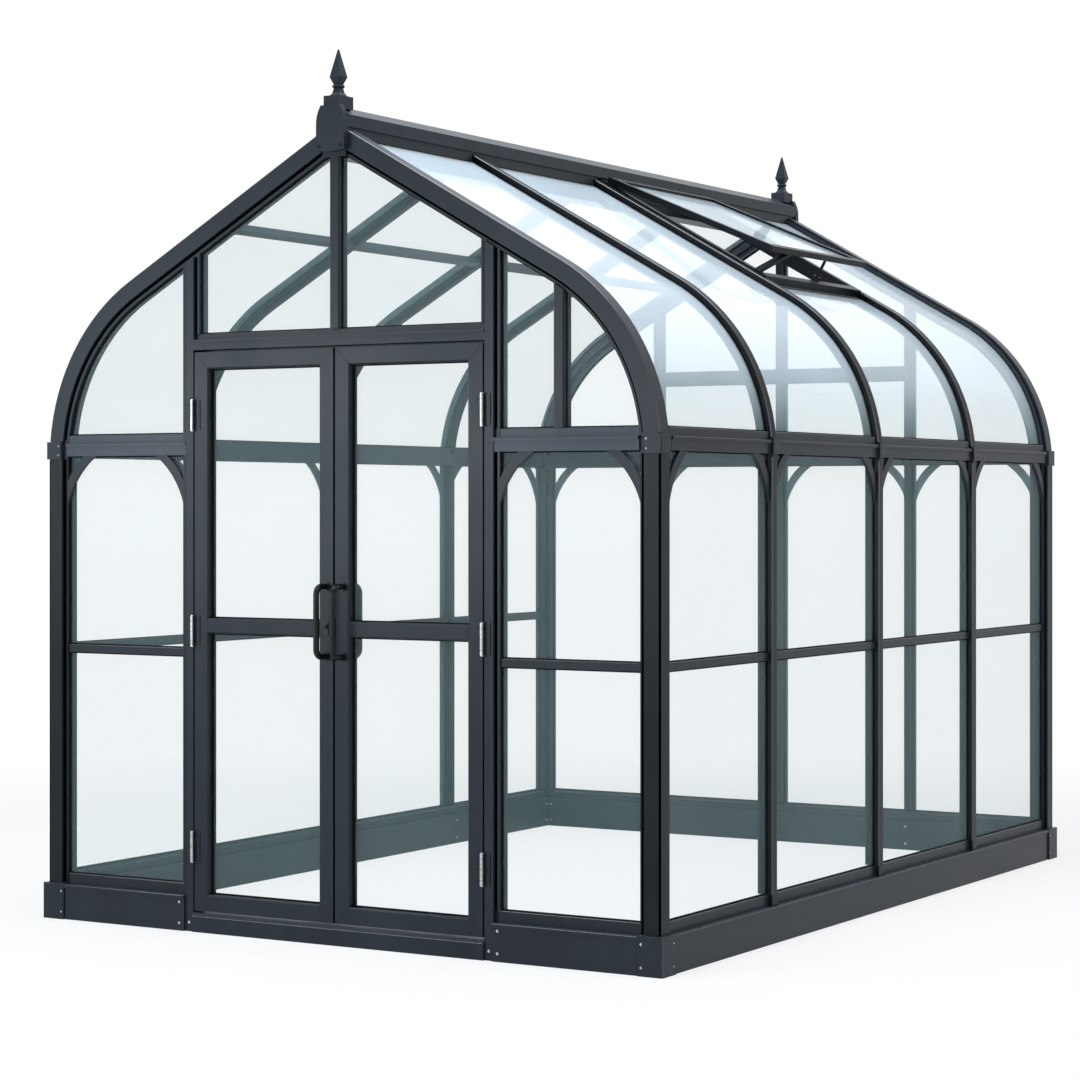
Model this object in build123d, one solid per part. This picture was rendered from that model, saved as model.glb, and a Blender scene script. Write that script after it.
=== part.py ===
from build123d import *
import math
import os

# Victorian greenhouse: curved-eave glazed house with double doors, a ridge with finials and a roof vent.
# Frame: +X to the right, +Y to the back, +Z up, millimetres, origin under the middle of the whole outline.

# Overall sizes
base_width = 2440.0
base_depth = 3374.0
base_height = 120.0
eave_bottom = 1600.0
eave_height = 44.0
eave_rail_height = 28.0
eave_arc_radius = 694.0
roof_pitch = 29.6
ridge_rise = 52.0
bay_shares = (0.235, 0.255, 0.26, 0.25)

# Fits
clearance = 0.3
overrun = 400.0

# Glass
glass_thickness = 4.0
glass_set = 24.0
glass_cover = 10.0

# Base plinth with its ledge and set-back sill
block_proud = 14.0
block_rise = 3.0
block_bevel = 2.0
pocket_radius = 6.5
pocket_depth = 4.0
pocket_inset = 13.0
pocket_heights = (26.0, 97.0)
pocket_sides = 8
plinth_proud = 8.0
plinth_depth = 76.0
lip_height = 12.0
lip_proud = 4.0
sill_height = 30.0
sill_depth = 40.0
bead_height = 8.0

# Corner posts and gable ribs share one section
corner_main = 58.0
corner_flange = 18.0
flange_set = 10.0
corner_bevel = 4.0

# Wall posts and roof ribs share one section
cap_width = 38.0
cap_depth = 15.0
cap_bevel = 4.0
bar_width = 28.0
bar_web = 16.0
bar_depth = 56.0
groove_width = 4.0
groove_depth = 3.0
groove_share = 0.5

# Eave beams, their brackets and junction blocks
eave_set = 3.0
eave_lip = 6.0
eave_lip_height = 10.0
eave_rail_set = 12.0
bracket_height = 60.0
bracket_drop = 10.0
bracket_proud = 6.0
bracket_bevel = 2.0
junction_width = 50.0
junction_proud = 8.0

# Rails between posts
mid_rail_bottom = 924.0
mid_rail_height = 26.0
mid_rail_set = 16.0
mid_rail_depth = 30.0

# Curved knee braces under the eave
knee_drop = 160.0
knee_reach = 120.0
knee_drop_outer = 86.0
knee_reach_outer = 70.0
knee_radius = 290.0
knee_radius_outer = 230.0
knee_set = 10.0
knee_thickness = 11.0

# Doorway
door_half = 576.0
jamb_width = 33.0
threshold_height = 64.0
threshold_slope = 10.0
header_bottom = 1952.0
header_height = 34.0
header_rail_height = 20.0
header_rail_set = 15.0
header_lip = 4.0
header_lip_height = 9.0
stop_gap = 6.0
stop_drop = 22.0

# Door leaves
leaf_gap = 6.0
leaf_top_gap = 8.0
leaf_bottom_gap = 7.0
meeting_gap = 8.0
leaf_depth = 44.0
leaf_stile = 57.0
leaf_bevel = 5.0
bevel_angle = 45.0
leaf_glass_set = 26.0
lock_rail_bottom = 1002.0
lock_rail_height = 52.0
door_slot = 9.0

# Hinges
hinge_heights = (286.0, 1010.0, 1733.0)
hinge_length = 102.0
hinge_leaf_width = 26.0
hinge_leaf_thickness = 3.0
knuckle_radius = 8.0
pin_radius = 4.0
pin_fit = 0.05
knuckle_gap = 0.4

# Handles and lock
handle_bar = 20.0
handle_reach = 54.0
handle_span = 228.0
handle_middle = 1053.0
handle_bend = 26.0
handle_foot = 30.0
handle_foot_thickness = 4.0
lock_radius = 7.0
lock_length = 8.0
lock_height = 1036.0

# Gable bars
extra_mullion_share = 0.44
back_post_place = 592.0

# Ridge
ridge_half = 46.0
ridge_cap_half = 54.0
ridge_cap_side = 40.0

# Ridge end plates and finials
plate_width = 110.0
plate_thickness = 24.0
plate_height = 146.0
plate_crown = 74.0
plate_shoulder = 62.0
plate_bend = 110.0
plate_point = 6.0
finial_block = 62.0
finial_block_length = 80.0
finial_block_height = 42.0
finial_block_sink = 10.0
finial_block_set = 9.0
finial_foot = 50.0
finial_foot_height = 12.0
finial_waist = 32.0
finial_neck_height = 16.0
finial_neck = 25.0
finial_ring = 42.0
finial_ring_height = 10.0
bead_round_share = 0.35
facet_share = 1.24
finial_bowl_height = 24.0
finial_bowl_foot = 24.0
finial_spike = 46.0
finial_band_height = 4.0
finial_spike_height = 88.0
finial_tip = 4.0

# Purlin under the left slope
purlin_share = 0.41
purlin_height = 28.0
purlin_depth = 26.0

# Roof vent on the right slope
vent_place_share = 0.62
vent_length = 800.0
curb_width = 34.0
curb_rise = 6.0
curb_depth = 48.0
sash_width = 34.0
sash_depth = 22.0
sash_side_gap = 6.0
sash_lap = 10.0
sash_angle = 6.5
sash_glass_cover = 8.0
arm_width = 34.0
arm_thickness = 22.0
arm_head_share = 0.2
stay_width = 10.0
stay_thickness = 8.0
stay_place_share = 0.6
stay_foot = 26.0
stay_foot_height = 14.0

# Places worked out from the sizes
handle_out = handle_reach + handle_bar / 2
front_reach = max(handle_out, plate_thickness, block_proud)
back_reach = max(plate_thickness, block_proud)
shift = (front_reach - back_reach) / 2
half_width = base_width / 2 - block_proud
front_y = -base_depth / 2 + block_proud + shift
back_y = base_depth / 2 - block_proud + shift
mid_y = (front_y + back_y) / 2
half_depth = (back_y - front_y) / 2
corner_full = corner_main + corner_flange
slot_out = glass_set - clearance
slot_in = glass_set + glass_thickness + clearance
post_foot = base_height + block_rise
sill_top = base_height + sill_height
eave_top = eave_bottom + eave_height
rail_top = eave_top + eave_rail_height
bracket_bottom = eave_bottom - bracket_drop
bracket_top = bracket_bottom + bracket_height
spring = bracket_bottom
pitch = math.radians(roof_pitch)
arc_turn = 90 - roof_pitch
arc_x = half_width - eave_arc_radius
header_top = header_bottom + header_height + header_rail_height
jamb_out = door_half + jamb_width
mid_rail_top = mid_rail_bottom + mid_rail_height
hinge_x = door_half - leaf_gap / 2
hinge_y = front_y - knuckle_radius - clearance
rib_places = [front_y + 2 * half_depth * sum(bay_shares[:i]) for i in range(1, len(bay_shares))]

to_front = Pos(0, front_y, 0)
to_back = Pos(0, back_y, 0) * Rot(0, 0, 180)
to_right = Pos(half_width, mid_y, 0) * Rot(0, 0, 90)
middle = Plane((0, mid_y, 0), x_dir=(1, 0, 0), z_dir=(0, 1, 0))


def block(x0, x1, y0, y1, z0, z1):
    """Box between two corners."""
    return Pos((x0 + x1) / 2, (y0 + y1) / 2, (z0 + z1) / 2) * Box(abs(x1 - x0), abs(y1 - y0), abs(z1 - z0))


def outline(points):
    """Flat face inside a closed run of points."""
    return make_face(Polyline(*points, close=True))


def along(section, start, end):
    """Rail whose depth and height section runs along a wall from start to end."""
    return Pos(start, 0, 0) * extrude(Plane.YZ * section, end - start)


def solids_of(pieces):
    """All separate solids of a list of pieces, as one compound."""
    found = []
    for piece in pieces:
        found.extend(piece.solids())
    return Compound(children=found)


def apex(depth):
    """Height where both roof slopes would meet, depth below the outer surface."""
    radius = eave_arc_radius - depth
    return spring + radius * math.cos(pitch) + (arc_x + radius * math.sin(pitch)) * math.tan(pitch)


def roof_point(depth, turn):
    """Point of the arc, turn in radians above the level of its centre."""
    radius = eave_arc_radius - depth
    return (arc_x + radius * math.cos(turn), spring + radius * math.sin(turn))


def roof_edge(depth, height):
    """Start, middle and end of the arc and the end at the ridge, depth below the outer surface."""
    start_turn = math.asin((height - spring) / (eave_arc_radius - depth))
    end_turn = math.pi / 2 - pitch
    return (
        roof_point(depth, start_turn),
        roof_point(depth, (start_turn + end_turn) / 2),
        roof_point(depth, end_turn),
        (ridge_half, apex(depth) - ridge_half * math.tan(pitch)),
    )


def roof_sheet(outer, inner, height, y0, y1):
    """Curved sheet on the right slope between two depths, from a height at the eave to the ridge."""
    a, b, c, d = roof_edge(outer, height)
    e, f, g, h = roof_edge(inner, height)
    edges = [ThreePointArc(a, b, c), Line(c, d), Line(d, h), Line(h, g), ThreePointArc(g, f, e), Line(e, a)]
    face = make_face(edges)
    return Pos(0, y1, 0) * extrude(Plane.XZ * face, y1 - y0)


def gable_core(depth, y0, y1):
    """Everything inside the gable outline, depth below the outer roof surface and below the ridge."""
    a, b, c, d = roof_edge(depth, spring)
    top = (0, apex(depth))
    foot = (a[0], 0)
    half = [ThreePointArc(a, b, c), Line(c, top), Line(top, (0, 0)), Line((0, 0), foot), Line(foot, a)]
    side = Pos(0, y1, 0) * extrude(Plane.XZ * make_face(half), y1 - y0)
    lid = block(-half_width, half_width, y0, y1, 0, ridge_bottom)
    return (side + mirror(side, about=Plane.YZ)) & lid


ridge_bottom = apex(corner_full) - ridge_half * math.tan(pitch)
ridge_top = apex(0) + ridge_rise


def bar_section():
    """Glazing bar: bevelled cap outside, slot for the glass on both sides, grooved flange inside."""
    cap, bar, web = cap_width / 2, bar_width / 2, bar_web / 2
    groove_start = slot_in + (bar_depth - slot_in) * groove_share
    groove_end = groove_start + groove_width
    right = [
        (cap, 0), (cap, cap_depth), (bar, cap_depth), (bar, slot_out), (web, slot_out), (web, slot_in),
        (bar, slot_in), (bar, groove_start), (bar - groove_depth, groove_start),
        (bar - groove_depth, groove_end), (bar, groove_end), (bar, bar_depth),
    ]
    left = [(-u, d) for u, d in reversed(right)]
    face = outline(right + left)
    corners = face.vertices().filter_by(lambda v: abs(v.Y) < clearance)
    return chamfer(corners, cap_bevel)


def corner_section():
    """Corner post and gable rib: square bar with a set-back glazing flange on both inner sides."""
    half = [
        (corner_main, 0), (corner_main, flange_set), (corner_full, flange_set), (corner_full, slot_out),
        (corner_full - glass_cover, slot_out), (corner_full - glass_cover, slot_in), (corner_full, slot_in),
        (corner_full, corner_main), (corner_main, corner_main),
    ]
    other = [(b, a) for a, b in reversed(half[:-1])]
    face = outline([(0, 0)] + [(-a, b) for a, b in half + other])
    tip = face.vertices().filter_by(lambda v: abs(v.X) < clearance and abs(v.Y) < clearance)
    return chamfer(tip, corner_bevel)


def curved_bar(section, height):
    """Bar that rises from the eave along the arc and the slope to the ridge, on the right side."""
    axis = Axis((arc_x, 0, spring), (0, -1, 0))
    bend = revolve(section, axis, arc_turn)
    end = section.rotate(axis, arc_turn)
    length = (arc_x + eave_arc_radius) / math.cos(pitch)
    rise = extrude(end, length, dir=(-math.cos(pitch), 0, math.sin(pitch)))
    below = block(-half_width, half_width + overrun, -base_depth, base_depth, 0, height)
    beyond = block(-base_width, ridge_half, -base_depth, base_depth, 0, ridge_top + overrun)
    return bend + rise - below - beyond


def post(place, bottom, top):
    """Glazing bar standing in a wall."""
    return Pos(place, 0, bottom) * extrude(bar_section(), top - bottom)


def wall_post(place, top):
    """Post on the sill, with its cap reaching down to the ledge of the plinth."""
    half, bead_top = cap_width / 2, sill_top + bead_height
    foot = Pos(place, 0, 0) * block(-half, half, 0, cap_depth, base_height, bead_top)
    bar = post(place, bead_top, top)
    stem = Pos(place, 0, 0) * block(-bar_web / 2, bar_web / 2, slot_out, slot_in, sill_top, bead_top)
    return bar + foot + stem


def base_section():
    """Plinth with a ledge lip, and the set-back sill with a bead in front of the glass."""
    sill_out = cap_depth
    lip = plinth_proud + lip_proud
    return outline([
        (-plinth_proud, 0), (-plinth_proud, base_height - lip_height), (-lip, base_height - lip_height),
        (-lip, base_height), (sill_out, base_height), (sill_out, sill_top + bead_height),
        (slot_out, sill_top + bead_height), (slot_out, sill_top), (sill_out + sill_depth, sill_top),
        (sill_out + sill_depth, base_height), (plinth_depth, base_height), (plinth_depth, 0),
    ])


def eave_section():
    """Lipped beam below and set-back glazing rail above."""
    lip = eave_set - eave_lip
    return outline([
        (eave_set, eave_bottom), (eave_set, eave_top - eave_lip_height), (lip, eave_top - eave_lip_height),
        (lip, eave_top), (eave_rail_set, eave_top), (eave_rail_set, rail_top), (bar_depth, rail_top),
        (bar_depth, eave_bottom),
    ])


def rail_section(bottom, height, start, depth):
    """Plain rail."""
    end, top = start + depth, bottom + height
    return outline([(start, bottom), (start, top), (end, top), (end, bottom)])


def pane(u0, u1, z0, z1):
    """Flat pane in a wall, with a small gap at both upright edges."""
    return block(u0 + clearance, u1 - clearance, glass_set, glass_set + glass_thickness, z0, z1)


def two_panes(u0, u1):
    """Lower and upper pane of a wall bay."""
    return [pane(u0, u1, sill_top, mid_rail_bottom), pane(u0, u1, mid_rail_top, eave_bottom)]


def bulge(start, end, radius):
    """Arc from start to end that bends to the left of the way from one to the other."""
    chord = (Vector(*end) - Vector(*start))
    half = chord.length / 2
    rise = radius - math.sqrt(radius ** 2 - half ** 2)
    normal = Vector(-chord.Y, chord.X).normalized()
    return ThreePointArc(start, (Vector(*start) + Vector(*end)) * 0.5 + normal * rise, end)


def knee(place, way):
    """Curved brace between an upright's side and the underside of the eave beam."""
    low, far, near, high = (0, -knee_drop), (knee_reach, 0), (knee_reach_outer, 0), (0, -knee_drop_outer)
    face = make_face([
        bulge(low, far, knee_radius), Line(far, near), bulge(high, near, knee_radius_outer), Line(high, low),
    ])
    brace = Pos(0, knee_set + knee_thickness, eave_bottom) * extrude(Plane.XZ * face, knee_thickness)
    if way < 0:
        brace = mirror(brace, about=Plane.YZ)
    return Pos(place, 0, 0) * brace


def front_zone(depth):
    """Space inside the gable outline at the front wall."""
    return gable_core(depth, front_y - overrun, front_y + overrun)


def back_zone(depth):
    """Space inside the gable outline at the back wall."""
    return gable_core(depth, back_y - overrun, back_y + overrun)


def mirrored(piece):
    """Copy on the left side."""
    return mirror(piece, about=Plane.YZ)


# Base

def pocket(turn):
    """Shallow pocket for a bolt head in a face that looks to the front, or turned from there."""
    prism = extrude(RegularPolygon(pocket_radius, pocket_sides), pocket_depth)
    return Rot(0, 0, turn) * Rot(-90, 0, 0) * prism


def corner_blocks():
    """Blocks under the four corner posts, with pockets for their bolts."""
    piece = block(half_width - corner_full, half_width + block_proud,
                  front_y - block_proud, front_y + corner_full,
                  0, post_foot)
    piece = chamfer(piece.edges().filter_by(Axis.Z), block_bevel)
    for height in pocket_heights:
        piece -= Pos(half_width - corner_full + pocket_inset, front_y - block_proud, height) * pocket(0)
        piece -= Pos(half_width + block_proud, front_y + corner_full - pocket_inset, height) * pocket(90)
    pair = [piece, mirror(piece, about=middle)]
    return solids_of(pair + [mirrored(p) for p in pair])


def base_front():
    """Two plinths, one on each side of the doorway."""
    right = to_front * along(base_section(), jamb_out, half_width - corner_full)
    return solids_of([right, mirrored(right)])


def base_back():
    """Plinth under the back wall."""
    return to_back * along(base_section(), -half_width + corner_full, half_width - corner_full)


def base_sides():
    """Plinths under both side walls."""
    right = to_right * along(base_section(), -half_depth + corner_full, half_depth - corner_full)
    return solids_of([right, mirrored(right)])


def door_threshold():
    """Low threshold between the door jambs, its top falling to the outside."""
    section = outline([
        (-plinth_proud, 0), (-plinth_proud, threshold_height - threshold_slope), (0, threshold_height),
        (corner_main, threshold_height), (corner_main, 0),
    ])
    return to_front * along(section, -door_half, door_half)


# Uprights

def corner_posts():
    """Four posts from the corner blocks to the eave brackets."""
    piece = Pos(half_width, front_y, post_foot) * extrude(corner_section(), bracket_bottom - post_foot)
    pair = [piece, mirror(piece, about=middle)]
    return solids_of(pair + [mirrored(p) for p in pair])


def right_side_posts():
    """Three posts in the right wall."""
    return solids_of([to_right * wall_post(y - mid_y, eave_bottom) for y in rib_places])


def back_posts():
    """Three posts of the back wall, which run on through the gable to the ribs."""
    zone = back_zone(corner_full)
    places = (-back_post_place, 0, back_post_place)
    return solids_of([(to_back * wall_post(u, ridge_top)) & zone for u in places])


def jamb_flange(start, way):
    """Glazing flange on one side of a jamb."""
    end = start + way * corner_flange
    seat = end - way * glass_cover
    return outline([
        (start, flange_set), (end, flange_set), (end, slot_out),
        (seat, slot_out), (seat, slot_in), (end, slot_in),
        (end, corner_main), (start, corner_main),
    ])


def door_jambs():
    """Jambs from the ground through the gable to the ribs."""
    flange_foot = sill_top + bead_height
    bar = block(door_half, jamb_out, 0, corner_main, 0, ridge_top)
    outer = Pos(0, 0, flange_foot) * extrude(jamb_flange(jamb_out, 1), ridge_top - flange_foot)
    inner = Pos(0, 0, header_top) * extrude(jamb_flange(door_half, -1), ridge_top - header_top)
    right = (to_front * (bar + outer + inner)) & front_zone(corner_full)
    right -= to_front * along(eave_section(), jamb_out, half_width - corner_full)
    return solids_of([right, mirrored(right)])


def front_gable_mullions():
    """Middle mullion over the doors, and one more bar in the right-hand gable corner."""
    zone = front_zone(corner_full)
    side = jamb_out + (half_width - corner_main - jamb_out) * extra_mullion_share
    centre = (to_front * post(0, header_top, ridge_top)) & zone
    extra = (to_front * post(side, rail_top, ridge_top)) & zone
    return solids_of([centre, extra])


# Rails

def door_header():
    """Beam over the doors with a lip, a set-back glazing rail and a stop behind the leaves."""
    beam_top = header_bottom + header_height
    section = outline([
        (0, header_bottom), (0, beam_top - header_lip_height), (-header_lip, beam_top - header_lip_height),
        (-header_lip, beam_top), (header_rail_set, beam_top), (header_rail_set, header_top),
        (corner_main, header_top), (corner_main, header_bottom - stop_drop),
        (leaf_depth + stop_gap, header_bottom - stop_drop), (leaf_depth + stop_gap, header_bottom),
    ])
    return to_front * along(section, -door_half, door_half)


def back_transom():
    """Rail across the back gable at the height of the door header."""
    height = header_top - header_bottom
    section = rail_section(header_bottom, height, eave_rail_set, bar_depth - eave_rail_set)
    right = to_back * along(section, cap_width / 2, back_post_place - cap_width / 2)
    return solids_of([right, mirrored(right)])


def front_eave_beams():
    """Eave beams of the front wall, one on each side of the doors."""
    right = to_front * along(eave_section(), jamb_out, half_width - corner_full)
    right = right & front_zone(corner_full)
    return solids_of([right, mirrored(right)])


def back_eave_beams():
    """Eave beams of the back wall, between its posts."""
    inner = to_back * along(eave_section(), cap_width / 2, back_post_place - cap_width / 2)
    outer = to_back * along(eave_section(), back_post_place + cap_width / 2, half_width - corner_full)
    outer = outer & back_zone(corner_full)
    return solids_of([inner, outer, mirrored(inner), mirrored(outer)])


def side_eave_beam():
    """Eave beam of the right wall."""
    return to_right * along(eave_section(), -half_depth + corner_full, half_depth - corner_full)


def side_eave_beams():
    """Eave beams of both side walls."""
    return solids_of([side_eave_beam(), mirrored(side_eave_beam())])


def eave_brackets():
    """Blocks that join posts, beams and ribs at the corners and cover the joints at the side posts."""
    corner = block(half_width - corner_main, half_width + bracket_proud, front_y - bracket_proud,
                   front_y + corner_main, bracket_bottom, bracket_top)
    corner = chamfer(corner.edges().filter_by(Axis.Z), bracket_bevel)
    corner += block(half_width - corner_full, half_width - flange_set,
                    front_y + flange_set, front_y + corner_full, bracket_bottom, bracket_top)
    glass_top = eave_bottom + clearance
    seat = corner_full - glass_cover
    corner -= block(half_width - corner_full, half_width - seat, front_y + slot_out, front_y + slot_in,
                    bracket_bottom, glass_top)
    corner -= block(half_width - slot_in, half_width - slot_out, front_y + seat, front_y + corner_full,
                    bracket_bottom, glass_top)
    pair = [corner, mirror(corner, about=middle)]
    half = junction_width / 2
    cover = block(-half, half, -junction_proud, eave_rail_set, eave_bottom, bracket_top)
    beam = side_eave_beam()
    covers = [(to_right * Pos(y - mid_y, 0, 0) * cover) - beam for y in rib_places]
    return solids_of(pair + [mirrored(p) for p in pair] + covers + [mirrored(c) for c in covers])


def clear_spans(places, half, reach):
    """Spans between bars of a half width, and between the last bars and the corner posts."""
    starts = [-reach + corner_full] + [u + half for u in places]
    ends = [u - half for u in places] + [reach - corner_full]
    return list(zip(starts, ends))


def side_bays(half):
    """Clear spans between the uprights of a side wall."""
    return clear_spans([y - mid_y for y in rib_places], half, half_depth)


def back_bays(half):
    """Clear spans between the uprights of the back wall."""
    return clear_spans([-back_post_place, 0, back_post_place], half, half_width)


def mid_rails():
    """Slim rails half way up every glazed wall bay."""
    section = rail_section(mid_rail_bottom, mid_rail_height, mid_rail_set, mid_rail_depth)
    front = to_front * along(section, jamb_out + corner_flange, half_width - corner_full)
    right = [to_right * along(section, a, b) for a, b in side_bays(bar_width / 2)]
    back = [to_back * along(section, a, b) for a, b in back_bays(bar_width / 2)]
    return front, right, back


def end_mid_rails():
    """Mid rails of the front and back walls."""
    front, right, back = mid_rails()
    return solids_of([front, mirrored(front)] + back)


def side_mid_rails():
    """Mid rails of both side walls."""
    front, right, back = mid_rails()
    return solids_of(right + [mirrored(p) for p in right])


def knee_pairs(bays):
    """A brace at both ends of every bay, in front of the glass."""
    return [piece for a, b in bays for piece in (knee(a, 1), knee(b, -1))]


def end_knee_braces():
    """Braces in the front and back walls."""
    right = [to_front * p for p in knee_pairs([(jamb_out + corner_flange, half_width - corner_full)])]
    back = knee_pairs(back_bays(cap_width / 2))
    return solids_of(right + [mirrored(p) for p in right] + [to_back * p for p in back])


def side_knee_braces():
    """Braces in both side walls."""
    right = [to_right * p for p in knee_pairs(side_bays(cap_width / 2))]
    return solids_of(right + [mirrored(p) for p in right])


# Roof

def gable_rib():
    """Right-hand rib of the front gable."""
    return curved_bar(Pos(half_width, front_y, spring) * corner_section(), bracket_top)


def roof_rib_solid():
    """Right-hand roof rib in the middle of the length, its cap reaching down over the glazing rail."""
    bar = curved_bar(Pos(half_width, mid_y, spring) * Rot(0, 0, 90) * bar_section(), bracket_top)
    return bar - side_eave_beam()


def front_gable_ribs():
    """Both ribs of the front gable."""
    return solids_of([gable_rib(), mirrored(gable_rib())])


def back_gable_ribs():
    """Both ribs of the back gable."""
    right = mirror(gable_rib(), about=middle)
    return solids_of([right, mirrored(right)])


def right_roof_ribs():
    """Three ribs between the gables, right slope."""
    rib = roof_rib_solid()
    return solids_of([Pos(0, y - mid_y, 0) * rib for y in rib_places])


def ridge_beam():
    """Ridge bar with its roof-shaped cap."""
    eaves = ridge_top - ridge_cap_half * math.tan(pitch)
    right = [
        (ridge_half, ridge_bottom), (ridge_half, eaves - ridge_cap_side),
        (ridge_cap_half, eaves - ridge_cap_side),
        (ridge_cap_half, eaves),
    ]
    left = [(-x, z) for x, z in reversed(right)]
    face = outline(right + [(0, ridge_top)] + left)
    return Pos(0, back_y, 0) * extrude(Plane.XZ * face, back_y - front_y)


def taper(low, high, height):
    """Square spike or flare between two widths, with narrow facets on its corners."""
    angle = math.degrees(math.atan((low - high) / 2 / height))
    facets = math.degrees(math.atan((low - high) * facet_share / 2 / height))
    body = extrude(Rectangle(low, low), height, taper=angle)
    turned = extrude(Rectangle(low * facet_share, low * facet_share), height, taper=facets)
    return body & (Rot(0, 0, bevel_angle) * turned)


def plate_face():
    """Shield outline with rounded shoulders and a slightly pointed foot."""
    half, top, low = plate_width / 2, ridge_top, ridge_top - plate_height
    crown, shoulder = (plate_crown / 2, top), (half, top - plate_shoulder)
    corner, point = (half, low), (0, low - plate_point)
    right = [
        Line((0, top), crown), bulge(crown, shoulder, plate_bend),
        Line(shoulder, corner), Line(corner, point),
        Line(point, (0, top)),
    ]
    face = make_face(right)
    return face + mirror(face, about=Plane.YZ)


def finial():
    """End plate of the ridge with its block, flared neck, bead and spike, at the front."""
    plate = Pos(0, front_y, 0) * extrude(Plane.XZ * plate_face(), plate_thickness)
    centre = front_y - plate_thickness + finial_block_set + finial_block_length / 2
    level = ridge_top - finial_block_sink
    stack = block(-finial_block / 2, finial_block / 2, centre - finial_block_length / 2,
                  centre + finial_block_length / 2, level, level + finial_block_height)
    level += finial_block_height
    bead_foot = level + finial_foot_height + finial_neck_height
    bead = Cylinder(finial_ring / 2, finial_ring_height)
    bead = chamfer(bead.edges().filter_by(GeomType.CIRCLE), finial_ring_height * bead_round_share)
    stages = [
        (finial_foot, finial_waist, finial_foot_height), (finial_waist, finial_neck, finial_neck_height),
        (finial_neck, finial_bowl_foot, finial_ring_height),
        (finial_bowl_foot, finial_spike, finial_bowl_height),
        (finial_spike, finial_spike, finial_band_height), (finial_spike, finial_tip, finial_spike_height),
    ]
    for low, high, height in stages:
        stack += Pos(0, centre, level) * taper(low, high, height)
        level += height
    stack += Pos(0, centre, bead_foot + finial_ring_height / 2) * bead
    for side in (-1, 1):
        place = side * (plate_width / 2 - pocket_inset)
        plate -= Pos(place, front_y - plate_thickness, ridge_top - plate_height + pocket_inset) * pocket(0)
    return (plate + stack) - ridge_beam()


def ridge_finials():
    """Finials at both ends of the ridge."""
    front = finial()
    return solids_of([front, mirror(front, about=middle)])


def rib_spans(half):
    """Spans between neighbouring ribs, half the width of a rib away from each."""
    starts = [front_y + corner_full] + [y + half for y in rib_places]
    ends = [y - half for y in rib_places] + [back_y - corner_full]
    return list(zip(starts, ends))


def left_roof_purlin():
    """Purlin pieces between the ribs under the left slope."""
    place = half_width * purlin_share
    along_slope = (place - ridge_half) / math.cos(pitch)
    pieces = []
    for y0, y1 in rib_spans(bar_width / 2):
        bar = block(along_slope - purlin_height / 2, along_slope + purlin_height / 2, y0, y1,
                    -slot_in - purlin_depth, -slot_in)
        pieces.append(mirrored(slope * bar))
    return solids_of(pieces)


slope = Plane((ridge_half, 0, apex(0) - ridge_half * math.tan(pitch)),
              x_dir=(math.cos(pitch), 0, -math.sin(pitch)), z_dir=(math.sin(pitch), 0, math.cos(pitch)))


# Glass

def side_glass():
    """Panes of the right wall."""
    edges = [y - mid_y for y in rib_places]
    starts = [-half_depth + corner_full - glass_cover] + [u + bar_web / 2 for u in edges]
    ends = [u - bar_web / 2 for u in edges] + [half_depth - corner_full + glass_cover]
    return [to_right * p for a, b in zip(starts, ends) for p in two_panes(a, b)]


def right_wall_glass():
    """Panes of the right wall."""
    return solids_of(side_glass())


def left_wall_glass():
    """Panes of the left wall."""
    return solids_of([mirrored(p) for p in side_glass()])


def gable_pane(u0, u1, bottom):
    """Pane of a gable before it is cut to the line of the ribs."""
    return pane(u0, u1, bottom, ridge_bottom)


def front_glass():
    """Panes beside the doors and in the front gable."""
    seat = corner_flange - glass_cover
    edge = half_width - corner_full + glass_cover
    low, high = jamb_out + seat, door_half - seat
    extra = jamb_out + (half_width - corner_main - jamb_out) * extra_mullion_share
    zone = front_zone(corner_full - glass_cover + clearance)
    walls = [to_front * p for p in two_panes(low, edge)]
    gable = [
        gable_pane(bar_web / 2, high, header_top), gable_pane(-high, -bar_web / 2, header_top),
        gable_pane(low, extra - bar_web / 2, rail_top), gable_pane(extra + bar_web / 2, edge, rail_top),
        gable_pane(-edge, -low, rail_top),
    ]
    return solids_of(walls + [mirrored(p) for p in walls] + [(to_front * p) & zone for p in gable])


def back_glass():
    """Panes of the back wall and its gable."""
    edges = [-back_post_place, 0, back_post_place]
    reach = half_width - corner_full + glass_cover
    starts = [-reach] + [u + bar_web / 2 for u in edges]
    ends = [u - bar_web / 2 for u in edges] + [reach]
    bays = list(zip(starts, ends))
    zone = back_zone(corner_full - glass_cover + clearance)
    walls = [p for a, b in bays for p in two_panes(a, b)]
    middle_low = [pane(a, b, rail_top, header_bottom) for a, b in bays[1:3]]
    gable = [gable_pane(a, b, rail_top) for a, b in (bays[0], bays[3])]
    gable += [gable_pane(a, b, header_top) for a, b in bays[1:3]]
    return solids_of([to_back * p for p in walls + middle_low] + [(to_back * p) & zone for p in gable])


def roof_panes():
    """One bent sheet for each bay of the right slope."""
    starts = [front_y + corner_full - glass_cover] + [y + bar_web / 2 for y in rib_places]
    ends = [y - bar_web / 2 for y in rib_places] + [back_y - corner_full + glass_cover]
    inner = glass_set + glass_thickness
    spans = [(a + clearance, b - clearance) for a, b in zip(starts, ends)]
    return [roof_sheet(glass_set, inner, rail_top, a, b) for a, b in spans]


def left_roof_glass():
    """Bent sheets of the left slope."""
    return solids_of([mirrored(p) for p in roof_panes()])


def right_roof_glass():
    """Bent sheets of the right slope, the one under the vent cut short."""
    panes = roof_panes()
    upper = slope * block(-overrun, vent_length, -base_depth, base_depth, -overrun, overrun)
    bay = vent_bay()
    panes[bay] = panes[bay] - upper
    return solids_of(panes)


# Roof vent

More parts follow.
